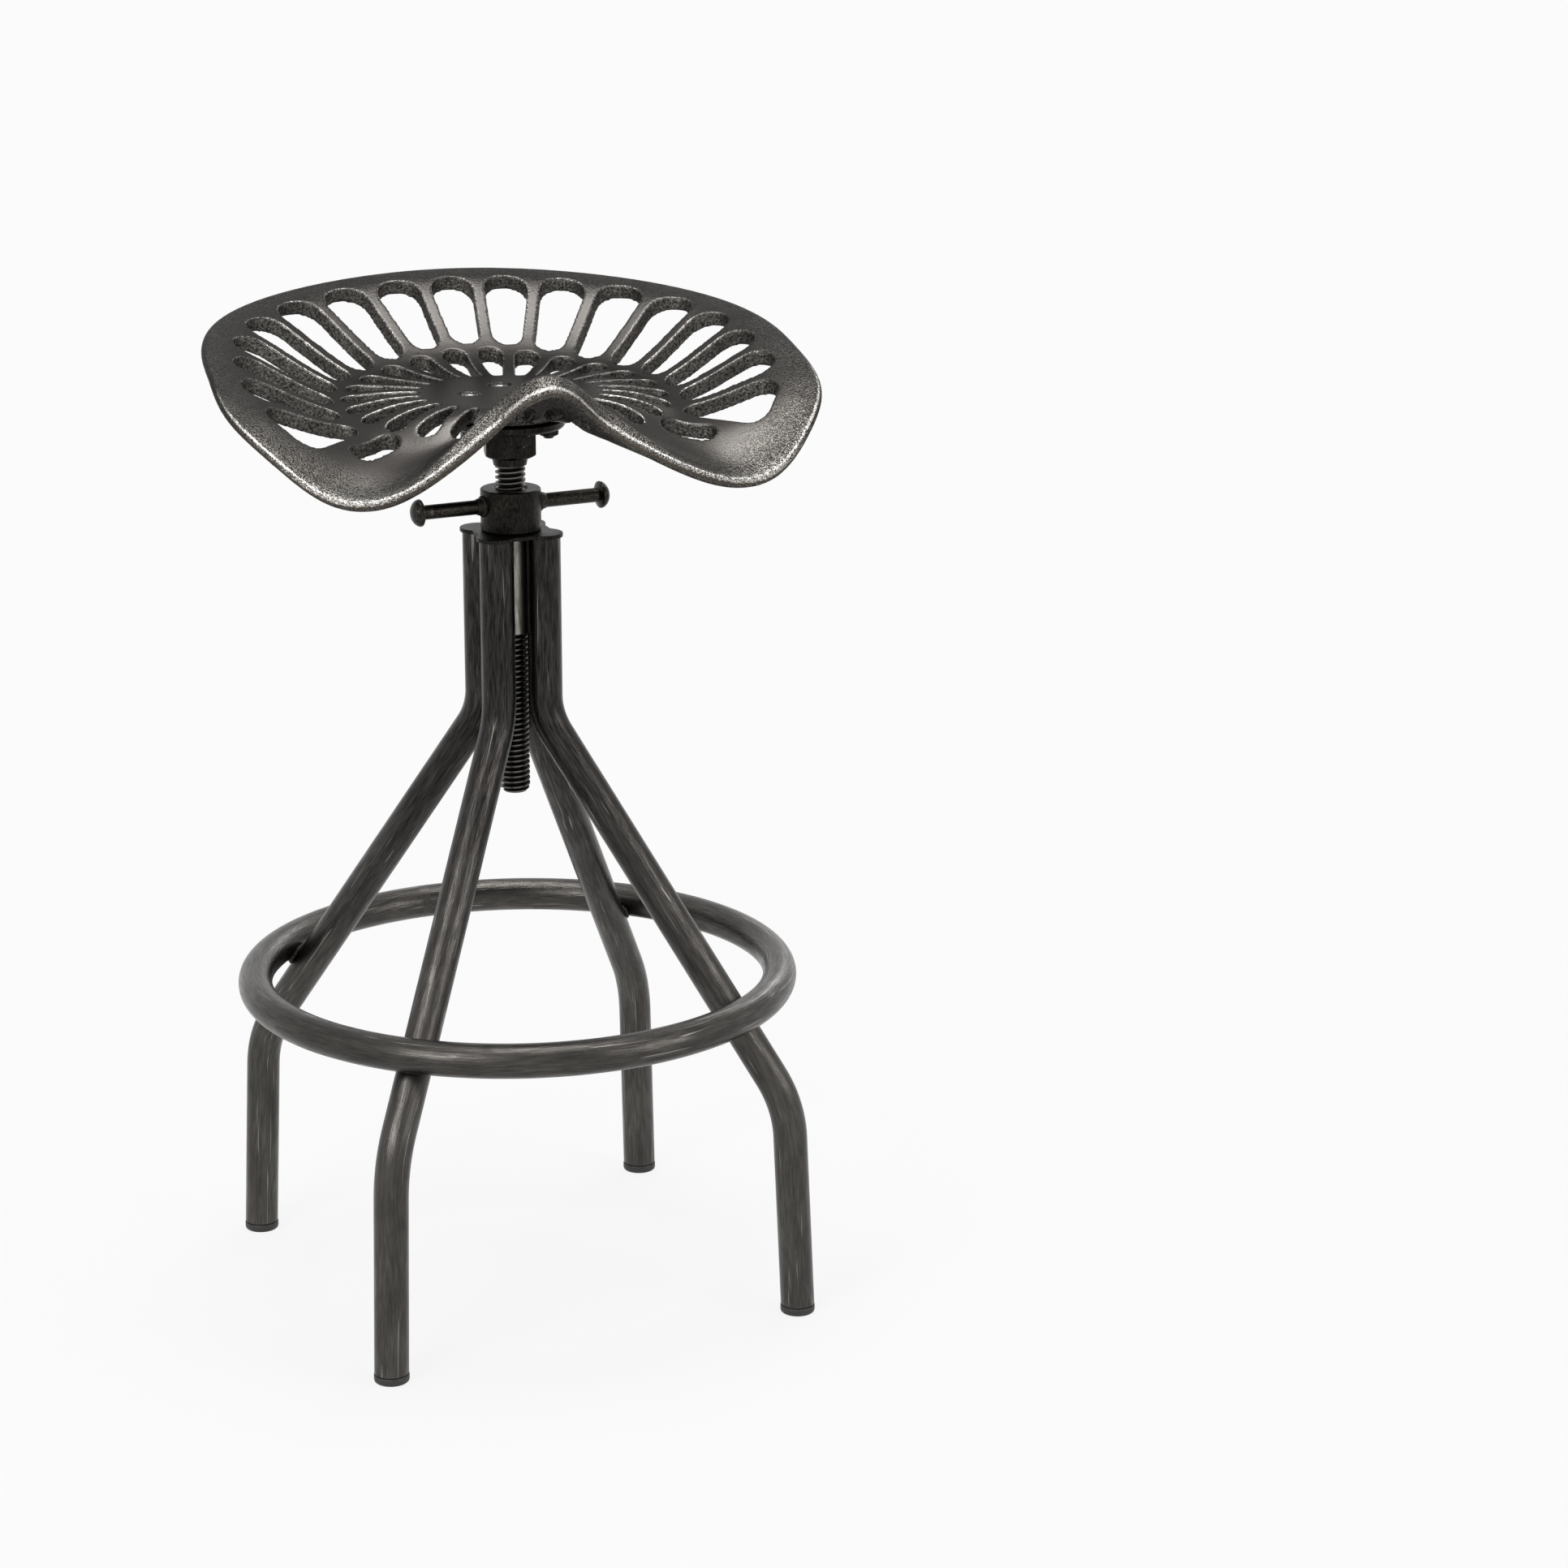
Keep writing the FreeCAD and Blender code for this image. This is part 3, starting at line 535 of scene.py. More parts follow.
def quads_to_mesh(rings: Sequence[Sequence[Vector]], closed: bool = False,
                  along: Optional[Sequence[Sequence[Vector]]] = None) -> Mesh:
    """Joins rings of points with quads, and closes the first and last ring.

    Args:
        rings: The rings, each with the same count, in millimetres.
        closed: Whether the last ring joins the first.
        along: For each point, the straightened place that marks along the piece follow.

    Returns:
        The mesh, in metres.
    """
    count, last = len(rings[0]), len(rings) - 1
    pairs = [(low, low + 1) for low in range(last)] + ([(last, 0)] if closed else [])
    faces: list[tuple[int, ...]] = [
        (low * count + place, low * count + (place + 1) % count,
         high * count + (place + 1) % count, high * count + place)
        for low, high in pairs for place in range(count)]
    if not closed:
        faces += [tuple(reversed(range(count))), tuple(range(last * count, (last + 1) * count))]
    mesh = bpy.data.meshes.new("rings")
    mesh.from_pydata([point * MM for ring in rings for point in ring], [], faces)
    if along is not None:
        places = mesh.attributes.new("along", "FLOAT_VECTOR", "POINT")
        flat = [value * MM for ring in along for point in ring for value in point]
        places.data.foreach_set("vector", flat)
    with edited(mesh) as shape:
        bmesh.ops.remove_doubles(shape, verts=shape.verts, dist=SAME_PLACE)
        bmesh.ops.recalc_face_normals(shape, faces=shape.faces)
    mesh.update()
    return mesh


def turned(rings: Iterable[tuple[float, ...]], segments: int = 72,
           place: Optional[Matrix] = None) -> Mesh:
    """Turns a profile round an upright axis, round or with flats.

    Args:
        rings: The profile from its low end to its high end, each ring as Ring lists it.
        segments: Points round each ring, a multiple of six.
        place: Where the axis goes, in millimetres.

    Returns:
        The mesh, in metres.
    """
    place = place or Matrix.Identity(4)
    made = []
    for ring in (Ring(*values) for values in rings):
        points = []
        for turn in turns(segments):
            radius = ring.radius
            if ring.flats:
                half = 180 / ring.flats
                radius /= math.cos(math.radians((turn + half) % (2 * half) - half))
            points.append(place @ polar(min(radius, ring.limit), turn, ring.height))
        made.append(points)
    return quads_to_mesh(made)


def swept(centres: Sequence[Vector], side: Vector, radius: float, closed: bool = False,
          segments: int = 48) -> Mesh:
    """Sweeps a circle along a path that bends in one plane.

    Args:
        centres: The path's points, in millimetres. An open path ends in a level cut.
        side: The unit vector across the path's plane.
        radius: The circle's radius.
        closed: Whether the path is a loop.
        segments: Points round the circle.

    Returns:
        The mesh, in metres, with its straightened places as the attribute along.
    """
    rings, along = [], []
    distance = 0.0
    last = len(centres) - 1
    for index, centre in enumerate(centres):
        before = centres[index - 1] if index or closed else centre
        after = centres[(index + 1) % len(centres)] if index < last or closed else centre
        forward = (after - before).normalized()
        lift = side.cross(forward)
        if index:
            distance += (centre - centres[index - 1]).length
        along.append([polar(radius, turn, distance) for turn in turns(segments)])
        points = [centre + side * place.x + lift * place.y for place in along[-1]]
        if index == last and not closed:
            points = [point + forward * ((centre.z - point.z) / forward.z) for point in points]
        rings.append(points)
    return quads_to_mesh(rings, closed, along)


def bent(corners: Sequence[Vector], bends: Sequence[float], step: float = 3.0,
         stretch: float = 12.0) -> list[Vector]:
    """Rounds a route's corners.

    Args:
        corners: The route's corners.
        bends: The bend radius at each inner corner.
        step: The turn between points on a bend, in degrees.
        stretch: About how far apart points stand on a straight.

    Returns:
        Points along the route.
    """
    route = [corners[0]]
    for index, bend in enumerate(bends, start=1):
        back = (corners[index - 1] - corners[index]).normalized()
        ahead = (corners[index + 1] - corners[index]).normalized()
        half = back.angle(ahead) / 2
        middle = corners[index] + (back + ahead).normalized() * (bend / math.sin(half))
        start = (corners[index] + back * (bend / math.tan(half)) - middle).normalized()
        end = (corners[index] + ahead * (bend / math.tan(half)) - middle).normalized()
        steps = max(2, round(math.degrees(math.pi - 2 * half) / step))
        route += [middle + start.slerp(end, part / steps) * bend for part in range(steps + 1)]
    route.append(corners[-1])
    filled = [route[0]]
    for point in route[1:]:
        first = filled[-1]
        pieces = max(1, int((point - first).length // stretch))
        filled += [first.lerp(point, part / pieces) for part in range(1, pieces + 1)]
    return filled


class Tree:
    """A Geometry Nodes tree with named inputs, whose result is taken as a plain mesh."""

    def __init__(self, name: str, sockets: dict[str, str]) -> None:
        """Starts the tree.

        Args:
            name: The tree's name.
            sockets: For each input its name and its socket's type, without NodeSocket.
        """
        self.tree = bpy.data.node_groups.new(name, "GeometryNodeTree")
        face = self.tree.interface
        self.sockets = {label: face.new_socket(label, in_out="INPUT",
                                               socket_type=f"NodeSocket{kind}")
                        for label, kind in sockets.items()}
        face.new_socket("Geometry", in_out="OUTPUT", socket_type="NodeSocketGeometry")
        given = self.tree.nodes.new("NodeGroupInput")
        self.known: dict[Any, Any] = {label: given.outputs[label] for label in sockets}

    def __getitem__(self, label: str) -> Any:
        """Gives the socket or node of a named input or a result that was worked out."""
        return self.known[label]

    def work_out(self, steps: Iterable[tuple[Any, ...]]) -> None:
        """Works out a formula step by step.

        Args:
            steps: For each step its result's name, the operation, and the names or numbers
                that it takes.
        """
        for result, operation, *parts in steps:
            self.known[result] = add(self.tree, "Math", [
                self.known.get(part, part) for part in parts], operation=operation)

    def finish(self, geometry: Node) -> None:
        """Realizes the geometry, gives it its material and ends the tree.

        Args:
            geometry: The node that gives the geometry.
        """
        real = add(self.tree, "GeometryNodeRealizeInstances", [geometry])
        coated = add(self.tree, "GeometryNodeSetMaterial", {
            "Geometry": real, "Material": self["Material"]})
        add(self.tree, "NodeGroupOutput", [coated])

    def mesh(self, values: dict[str, Any]) -> Mesh:
        """Runs the tree with its values and gives the result.

        Args:
            values: A value for each named input.

        Returns:
            The result as a plain mesh.
        """
        inputs = {self.sockets[label].identifier: value for label, value in values.items()}
        return changed(bpy.data.meshes.new("carrier"), "NODES", inputs, node_group=self.tree)


def circle_tree() -> Tree:
    """Builds the tree that sets copies of a piece round a circle.

    Returns:
        The tree.
    """
    made = Tree("copies_round_a_circle", {
        "Piece": "Object", "Count": "Int", "Radius": "Float", "Material": "Material"})
    ring = add(made.tree, "GeometryNodeMeshCircle", {
        "Vertices": made["Count"], "Radius": made["Radius"]})
    piece = add(made.tree, "GeometryNodeObjectInfo", {"Object": made["Piece"]})
    made.finish(add(made.tree, "GeometryNodeInstanceOnPoints", {
        "Points": ring, "Instance": piece.outputs["Geometry"]}))
    return made


def bead_tree() -> Tree:
    """Builds the tree that lays a weld bead of overlapping ripples along a path.

    Returns:
        The tree.
    """
    made = Tree("weld_bead", {"Path": "Object", "Spacing": "Float", "Radius": "Float",
                              "Seed": "Int", "Material": "Material"})
    path = add(made.tree, "GeometryNodeObjectInfo", {"Object": made["Path"]})
    points = add(made.tree, "GeometryNodeCurveToPoints", {
        "Curve": path.outputs["Geometry"], "Length": made["Spacing"]}, mode="LENGTH")
    drop = add(made.tree, "GeometryNodeMeshIcoSphere", {
        "Radius": made["Radius"], "Subdivisions": 3})
    smooth = add(made.tree, "GeometryNodeSetShadeSmooth", [drop])
    scale = add(made.tree, "FunctionNodeRandomValue", {
        "Min": (0.85, 0.85, 0.6), "Max": (1.1, 1.1, 0.8), "Seed": made["Seed"]},
        data_type="FLOAT_VECTOR")
    made.finish(add(made.tree, "GeometryNodeInstanceOnPoints", {
        "Points": points, "Instance": smooth, "Rotation": points.outputs["Rotation"],
        "Scale": scale}))
    return made


def thread_tree() -> Tree:
    """Builds the tree that rolls a grid into a screw thread.

    The grid's rows run along the helix, so crests and roots stay crisp. The first and last
    rows close on the axis, and heights past either end are held at that end. The crests are
    stored as the attribute wear, which paints them pale: wear and painted
    highlight. How far a crest is flat and where the root begins are shares of the pitch, from the
    crest's middle.

    Returns:
        The tree.
    """
    made = Tree("screw_thread", {
        "Bottom": "Float", "Top": "Float", "Pitch": "Float", "Radius": "Float",
        "Depth": "Float", "Chamfer": "Float", "Rows": "Int", "Rows each turn": "Int",
        "Points each turn": "Int", "Material": "Material"})
    tree = made.tree
    grid = add(tree, "GeometryNodeMeshGrid", {
        "Vertices X": made["Points each turn"], "Vertices Y": made["Rows"]})
    place = add(tree, "SeparateXYZ", [grid.outputs["UV Map"]])
    made.known["across"], made.known["up"] = place.outputs["X"], place.outputs["Y"]
    made.work_out([
        ("last", "SUBTRACT", "Rows", 1),
        ("row", "MULTIPLY", "up", "last"),
        ("row", "ROUND", "row"),
        ("turns", "DIVIDE", "row", "Rows each turn"),
        ("phase", "FRACT", "turns"),
        ("off crest", "SUBTRACT", "phase", 0.5),
        ("off crest", "ABSOLUTE", "off crest"),
        ("turns", "ADD", "turns", "across"),
        ("turns", "SUBTRACT", "turns", 1),
        ("height", "MULTIPLY", "turns", "Pitch"),
        ("height", "ADD", "height", "Bottom"),
        ("height", "MAXIMUM", "height", "Bottom"),
        ("height", "MINIMUM", "height", "Top")])
    flat_to, root_from = 0.14, 0.36
    crest = add(tree, "MapRange", [made["off crest"], flat_to, root_from, 1.0, 0.0])
    made.known["crest"] = crest
    made.work_out([
        ("root", "SUBTRACT", "Radius", "Depth"),
        ("radius", "MULTIPLY", "crest", "Depth"),
        ("radius", "ADD", "radius", "root"),
        ("end", "SUBTRACT", "Radius", "Chamfer"),
        ("end", "ADD", "end", "height"),
        ("end", "SUBTRACT", "end", "Bottom"),
        ("radius", "MINIMUM", "radius", "end"),
        ("before last", "SUBTRACT", "last", 0.5),
        ("past first", "GREATER_THAN", "row", 0.5),
        ("inner", "LESS_THAN", "row", "before last"),
        ("inner", "MULTIPLY", "inner", "past first"),
        ("radius", "MULTIPLY", "radius", "inner"),
        ("turn", "MULTIPLY", "across", 2 * math.pi),
        ("x", "COSINE", "turn"),
        ("x", "MULTIPLY", "x", "radius"),
        ("y", "SINE", "turn"),
        ("y", "MULTIPLY", "y", "radius")])
    place = add(tree, "CombineXYZ", [made["x"], made["y"], made["height"]])
    # The crests are painted pale: wear and painted highlight.
    worn_and_lit = add(tree, "GeometryNodeStoreNamedAttribute", {
        "Geometry": grid, "Name": "wear", "Value": crest}, data_type="FLOAT")
    rolled = add(tree, "GeometryNodeSetPosition", {"Geometry": worn_and_lit, "Position": place})
    made.finish(add(tree, "GeometryNodeMergeByDistance", {"Geometry": rolled, "Distance": SEAM}))
    return made


COPIES, BEAD, THREAD = circle_tree(), bead_tree(), thread_tree()


def bead(name: str, path: Sequence[Vector], radius: float, seed: int, body: Body,
         slot: str, spacing: float = 1.3) -> None:
    """Lays a weld bead round a loop and fits it.

    Args:
        name: The piece's name.
        path: The bead's middle line, in millimetres.
        radius: The ripples' radius.
        seed: Which random ripples it gets.
        body: The body that carries it.
        slot: The record's material slot.
        spacing: The distance between ripples.
    """
    curve = bpy.data.curves.new(name, "CURVE")
    curve.dimensions = "3D"
    line = curve.splines.new("POLY")
    line.points.add(len(path) - 1)
    for point, place in zip(line.points, path):
        point.co = (*(place * MM), 1.0)
    line.use_cyclic_u = True
    guide = linked(f"{name}_path", curve)
    mesh = BEAD.mesh({"Path": guide, "Spacing": spacing * MM, "Radius": radius * MM,
                      "Seed": seed, "Material": WELD.material()})
    bpy.data.objects.remove(guide)
    fit(dressed(name, mesh, WELD, smooth_to=80.0), body, slot)


@dataclass
class Leg:
    """One bent tube leg with its foot plug."""

    name: str
    circle: float = 25.55
    top: float = span("leg_front_left")[1]
    upper_bend: float = 439.7
    upper_radius: float = 50.0
    lower_bend: float = 162.0
    lower_radius: float = 86.0
    spread: float = 217.3
    foot: float = 224.9
    plug_height: float = span("leg_front_left")[0]
    plug_lip: float = 0.3

    def place(self, reach: float, height: float) -> Vector:
        """Gives a point in the leg's upright plane."""
        return polar(reach, LEG_TURNS[self.name], height)

    def foot_reach(self) -> float:
        """Works out how far the cut end stands from the screw's axis."""
        slope = (self.foot - self.spread) / self.lower_bend
        return self.foot - slope * self.plug_height

    def make(self) -> None:
        """Builds the tube and its plug and fits them."""
        corners = [self.place(self.circle, self.top), self.place(self.circle, self.upper_bend),
                   self.place(self.spread, self.lower_bend),
                   self.place(self.foot_reach(), self.plug_height)]
        route = bent(corners, (self.upper_radius, self.lower_radius))
        mesh = swept(route, polar(1, LEG_TURNS[self.name] + 90), TUBE / 2)
        tube = dressed(f"leg_tube_{self.name}", mesh, PATINA_TUBE)
        fit(tube, Body.BASE, "leg_tube", f"leg_{self.name}")
        self._make_plug()

    def _make_plug(self) -> None:
        """Builds the plug: a rounded foot, a lip and the dark seam below the tube."""
        wide, top = TUBE / 2 + self.plug_lip, self.plug_height
        rings = [(0, 0), (wide - 2.2, 0), (wide - 1.1, 0.25), (wide - 0.35, 0.9), (wide, 2.0),
                 (wide, top - 1.5), (wide - 0.3, top - 1.0), (wide - 1.3, top - 0.8),
                 (wide - 1.5, top - 0.02), (0, top - 0.02)]
        place = Matrix.Translation(self.place(self.foot_reach(), 0))
        plug = dressed(f"foot_plug_{self.name}", turned(rings, 72, place), PLUG, bevel=0.12)
        fit(plug, Body.BASE, "foot_cap", f"foot_cap_{self.name}")


@dataclass
class FootRing:
    """The tube ring welded outside the sloping legs."""

    height: float = 237.8
    radius: float = 195.4
    steps: int = 160
    seam_turn: float = 100.0
    lean: float = 34.62
    weld_reach: float = 7.5
    weld_steps: int = 40
    bead_radius: float = 2.6

    def make(self) -> None:
        """Builds the ring and the four welds that hold it."""
        centres = [polar(self.radius, turn + self.seam_turn, self.height)
                   for turn in turns(self.steps)]
        mesh = swept(centres, Vector((0, 0, 1)), TUBE / 2, closed=True)
        ring = dressed("foot_ring_tube", mesh, PATINA_TUBE)
        fit(ring, Body.BASE, "ring_tube", "foot_ring")
        for seed, (name, turn) in enumerate(LEG_TURNS.items()):
            bead(f"ring_weld_{name}", self._weld_path(turn), self.bead_radius, seed, Body.BASE,
                 "ring_tube")

    def _weld_path(self, turn: float) -> list[Vector]:
        """Draws the loop round the place where the ring meets a leg.

        Args:
            turn: The leg's turn from +X.

        Returns:
            The loop's points.
        """
        lean = math.radians(self.lean)
        away = polar(math.cos(lean), turn, math.sin(lean))
        touch = polar(self.radius, turn, self.height) - away * (TUBE / 2)
        level = polar(1, turn + 90)
        down = level.cross(away)
        round_it = [polar(self.weld_reach, angle) for angle in turns(self.weld_steps)]
        return [touch + level * place.x + down * place.y for place in round_it]


@dataclass
class Column:
    """The sleeve inside the legs and the lobed plate on top of them."""

    sleeve: float = 26.0
    bottom: float = span("screw_sleeve")[0]
    top: float = span("screw_sleeve")[1]

    def make(self) -> None:
        """Builds the sleeve and the plate and fits them."""
        inner, outer = BORE / 2, self.sleeve / 2
        mesh = turned([(inner, self.top), (inner, self.bottom), (outer, self.bottom),
                       (outer, self.top), (inner, self.top)])
        fit(dressed("screw_sleeve_tube", mesh, BARE_TUBE, bevel=0.3), Body.BASE, "bare_sleeve",
            "screw_sleeve")
        self._make_plate()

    def _make_plate(self) -> None:
        """Rounds the edges of the lobed plate that caps the legs."""
        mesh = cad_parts["top_plate"].data.copy()
        with edited(mesh) as shape:
            bmesh.ops.remove_doubles(shape, verts=shape.verts, dist=SAME_PLACE)
            bmesh.ops.dissolve_limit(shape, angle_limit=math.radians(1), verts=shape.verts,
                                     edges=shape.edges)
        plate = dressed("lobed_top_plate", mesh, PATINA_TURNED, bevel=0.5)
        fit(plate, Body.BASE, "dark_plate", "top_plate")


@dataclass
class LockNut:
    """The thick lock nut with its two handles."""

    bottom: float = span("lock_collar")[0]
    top: float = span("lock_collar")[1]
    collar: float = 44.0
    mouth: float = 26.0
    mouth_depth: float = 2.5
    handle_level: float = 596.0
    handle_turn: float = 9.5
    handle_root: float = 15.2
    handle: float = 10.5
    reach: float = 77.4
    head: float = 20.0
    weld_steps: int = 32
    bead_radius: float = 1.7
    bead_seed: int = 11

    def make(self) -> None:
        """Builds the collar, its handles and their welds."""
        bore, wide = BORE / 2, self.collar / 2
        rings = [(bore, self.bottom), (wide - 1.0, self.bottom), (wide, self.bottom + 1.0),
                 (wide, self.top - 0.8), (wide - 0.8, self.top), (self.mouth / 2, self.top),
                 (bore, self.top - self.mouth_depth), (bore, self.bottom)]
        collar = dressed("lock_nut_collar", turned(rings), PATINA_TURNED, 25.0, bevel=0.25)
        fit(collar, Body.LOCK_NUT, "dark_collar", "lock_collar")
        for side, turn in (("right", self.handle_turn), ("left", self.handle_turn + 180)):
            self._make_handle(side, turn)
            self._weld_handle(side, turn)

    def _make_handle(self, side: str, turn: float) -> None:
        """Builds one handle with its mushroom head.

        Args:
            side: Which handle it is.
            turn: Its turn from +X, in degrees.
        """
        rod, head, end = self.handle / 2, self.head / 2, self.reach
        rings = [(0, self.handle_root), (rod, self.handle_root), (rod, end - 8.6),
                 (head - 1.2, end - 7.6), (head - 0.2, end - 7.0), (head, end - 6.2),
                 (head * 0.94, end - 4.4), (head * 0.8, end - 2.6), (head * 0.58, end - 1.1),
                 (head * 0.3, end - 0.3), (0, end)]
        mesh = turned(rings, 48, lying(turn, self.handle_level))
        handle = dressed(f"handle_{side}", mesh, PATINA_ROD, 40.0)
        fit(handle, Body.LOCK_NUT, "dark_handle", f"lock_handle_{side}")

    def _weld_handle(self, side: str, turn: float) -> None:
        """Builds the fillet and the weld bead round a handle's root.

        Args:
            side: Which handle it is.
            turn: Its turn from +X, in degrees.
        """
        rod, root = self.handle / 2, self.collar / 2 - 0.8
        rings = [(0, root), (rod + 1.6, root), (rod + 1.7, root + 1.5), (rod + 1.3, root + 3.0),
                 (rod + 0.8, root + 4.6), (rod + 0.3, root + 6.0), (0, root + 6.4)]
        mesh = turned(rings, 48, lying(turn, self.handle_level))
        fillet = dressed(f"handle_fillet_{side}", mesh, WELD, 60.0)
        fit(fillet, Body.LOCK_NUT, "dark_handle")
        path = []
        for angle in turns(self.weld_steps):
            place = polar(rod + 0.8, angle)
            reach = math.sqrt((self.collar / 2 + 0.5) ** 2 - place.x ** 2)
            path.append(polar(reach, turn, self.handle_level + place.y)
                        + polar(place.x, turn + 90))
        bead(f"handle_weld_{side}", path, self.bead_radius, self.bead_seed + int(turn),
             Body.LOCK_NUT, "dark_handle")


@dataclass
class Screw:
    """The threaded rod that carries the seat."""

    bottom: float = span("screw_rod")[0]
    top: float = span("screw_rod")[1]
    diameter: float = 22.0
    depth: float = 2.4
    pitch: float = 4.0
    chamfer: float = 3.0
    rows_each_turn: int = 14
    points_each_turn: int = 65

    def make(self) -> None:
        """Rolls the thread and fits it."""
        rounds = (self.top - self.bottom) / self.pitch + 2
        mesh = THREAD.mesh({
            "Bottom": self.bottom * MM, "Top": self.top * MM, "Pitch": self.pitch * MM,
            "Radius": self.diameter / 2 * MM, "Depth": self.depth * MM,
            "Chamfer": self.chamfer * MM, "Rows": int(rounds * self.rows_each_turn) + 3,
            "Rows each turn": self.rows_each_turn, "Points each turn": self.points_each_turn,
            "Material": BLACK_OXIDE.material()})
        with edited(mesh) as shape:
            bmesh.ops.recalc_face_normals(shape, faces=shape.faces)
        rod = dressed("threaded_rod", mesh, BLACK_OXIDE, 50.0)
        fit(rod, Body.SCREW, "black_thread", "screw_rod")


@dataclass
class SeatMount:
    """The flange with its hexagonal socket, and the fasteners that hold the seat."""

    neck_bottom: float = span("seat_flange")[0]
    hub_bottom: float = 631.0
    flange_bottom: float = span("seat_washers")[1]
    flange_top: float = span("seat_flange")[1]
    hub_flats: float = 36.0
    hub_corner: float = 20.2
    flange: float = 80.0
    turn: float = 231.3
    weld_step: int = 5
    weld_gap: float = 0.6
    bead_radius: float = 2.1
    bead_spacing: float = 1.5
    bead_seed: int = 5
    set_screw_level: float = 645.0
    bolt_top: float = span("seat_bolts")[1]
    socket: float = 5.78

    def make(self) -> None:
        """Builds the flange, its weld, the set screw and the seat's fasteners."""
        bore, flat, wide = BORE / 2, self.hub_flats / 2, self.flange / 2
        hub, low, top = self.hub_bottom, self.flange_bottom, self.flange_top
        rings = [(bore, low), (bore, self.neck_bottom), (12.0, self.neck_bottom), (13.25, hub),
                 (16.6, hub), (flat, hub + 0.7, 6, 17.8), (flat, hub + 1.3, 6, 18.8),
                 (flat, hub + 2.0, 6, 19.9), (flat, hub + 2.6, 6), (flat, low, 6),
                 (wide - 1.5, low), (wide, low + 1.5), (wide, top - 0.6), (wide - 0.6, top),
                 (0, top)]
        place = Matrix.Rotation(math.radians(self.turn), 4, "Z")
        mesh = turned(rings, 72, place)
        flange = dressed("hex_socket_flange", mesh, PATINA_TURNED, 25.0, bevel=0.3)
        fit(flange, Body.SEAT, "dark_flange", "seat_flange")
        path = []
        for turn in range(0, 360, self.weld_step):
            part = (turn + 30) % 60 - 30
            reach = min(flat / math.cos(math.radians(part)), self.hub_corner)
            path.append(polar(reach + self.weld_gap, self.turn + turn, low - self.weld_gap))
        bead("hub_weld", path, self.bead_radius, self.bead_seed, Body.SEAT, "dark_flange",
             self.bead_spacing)
        self._make_set_screw()
        self._make_fasteners()

    def _make_set_screw(self) -> None:
        """Builds the socket set screw in the hub's flat."""
        end = self.hub_flats / 2 - 0.8
        rings = [(0, 11.4), (5.9, 11.4), (5.9, end - 0.7), (5.2, end), (3.0, end, 6),
                 (3.0, end - 2.8, 6), (0, end - 3.4)]
        mesh = turned(rings, 48, lying(self.turn, self.set_screw_level))
        screw = dressed("socket_set_screw", mesh, BLACK_OXIDE, bevel=0.15)
        fit(screw, Body.SEAT, "black_screw", "set_screw")

    def _make_fasteners(self) -> None:
        """Sets the countersunk bolts, washers and nuts round the bolt circle."""
        top, low = self.bolt_top, self.flange_bottom
        bolt = [(0, low - 10.1), (3.2, low - 10.1), (4, low - 9.3), (4, top - 4), (6.6, top - 1.2),
                (6.7, top - 0.8), (6.2, top), (2.9, top, 6), (2.5, top - 0.4, 6),
                (2.5, top - 3.0, 6), (0, top - 3.6)]
        washer = [(4.2, low), (4.2, low - 1.6), (8, low - 1.6), (8, low), (4.2, low)]
        nut = [(4.02, low - 1.6), (4.02, low - 8.1), (6.0, low - 8.1), (6.5, low - 7.8, 6, 6.6),
               (6.5, low - 7.4, 6, 7.1), (6.5, low - 7.0, 6), (6.5, low - 1.6, 6),
               (4.02, low - 1.6)]
        for node, rings, finish, slot in (
                ("seat_bolts", bolt, SOCKET_BOLT, "black_screw"),
                ("seat_washers", washer, PATINA_TURNED, "dark_flange"),
                ("seat_nuts", nut, PATINA_TURNED, "black_screw")):
            single = dressed(f"{node}_single", turned(rings, 48), finish)
            # The key's socket is painted pale: wear and a painted highlight.
            key = [float(point.co.xy.length < self.socket / 2 * MM
                         and point.co.z > (top - 3.9) * MM) for point in single.data.vertices]
            store(single.data, "wear", key)
            mesh = COPIES.mesh({"Piece": single, "Count": 4, "Radius": BOLT_CIRCLE * MM,
                                "Material": finish.material()})
            bpy.data.objects.remove(single)
            group = dressed(f"{node}_set", mesh, finish, 30.0, bevel=0.15)
            fit(group, Body.SEAT, slot, node)


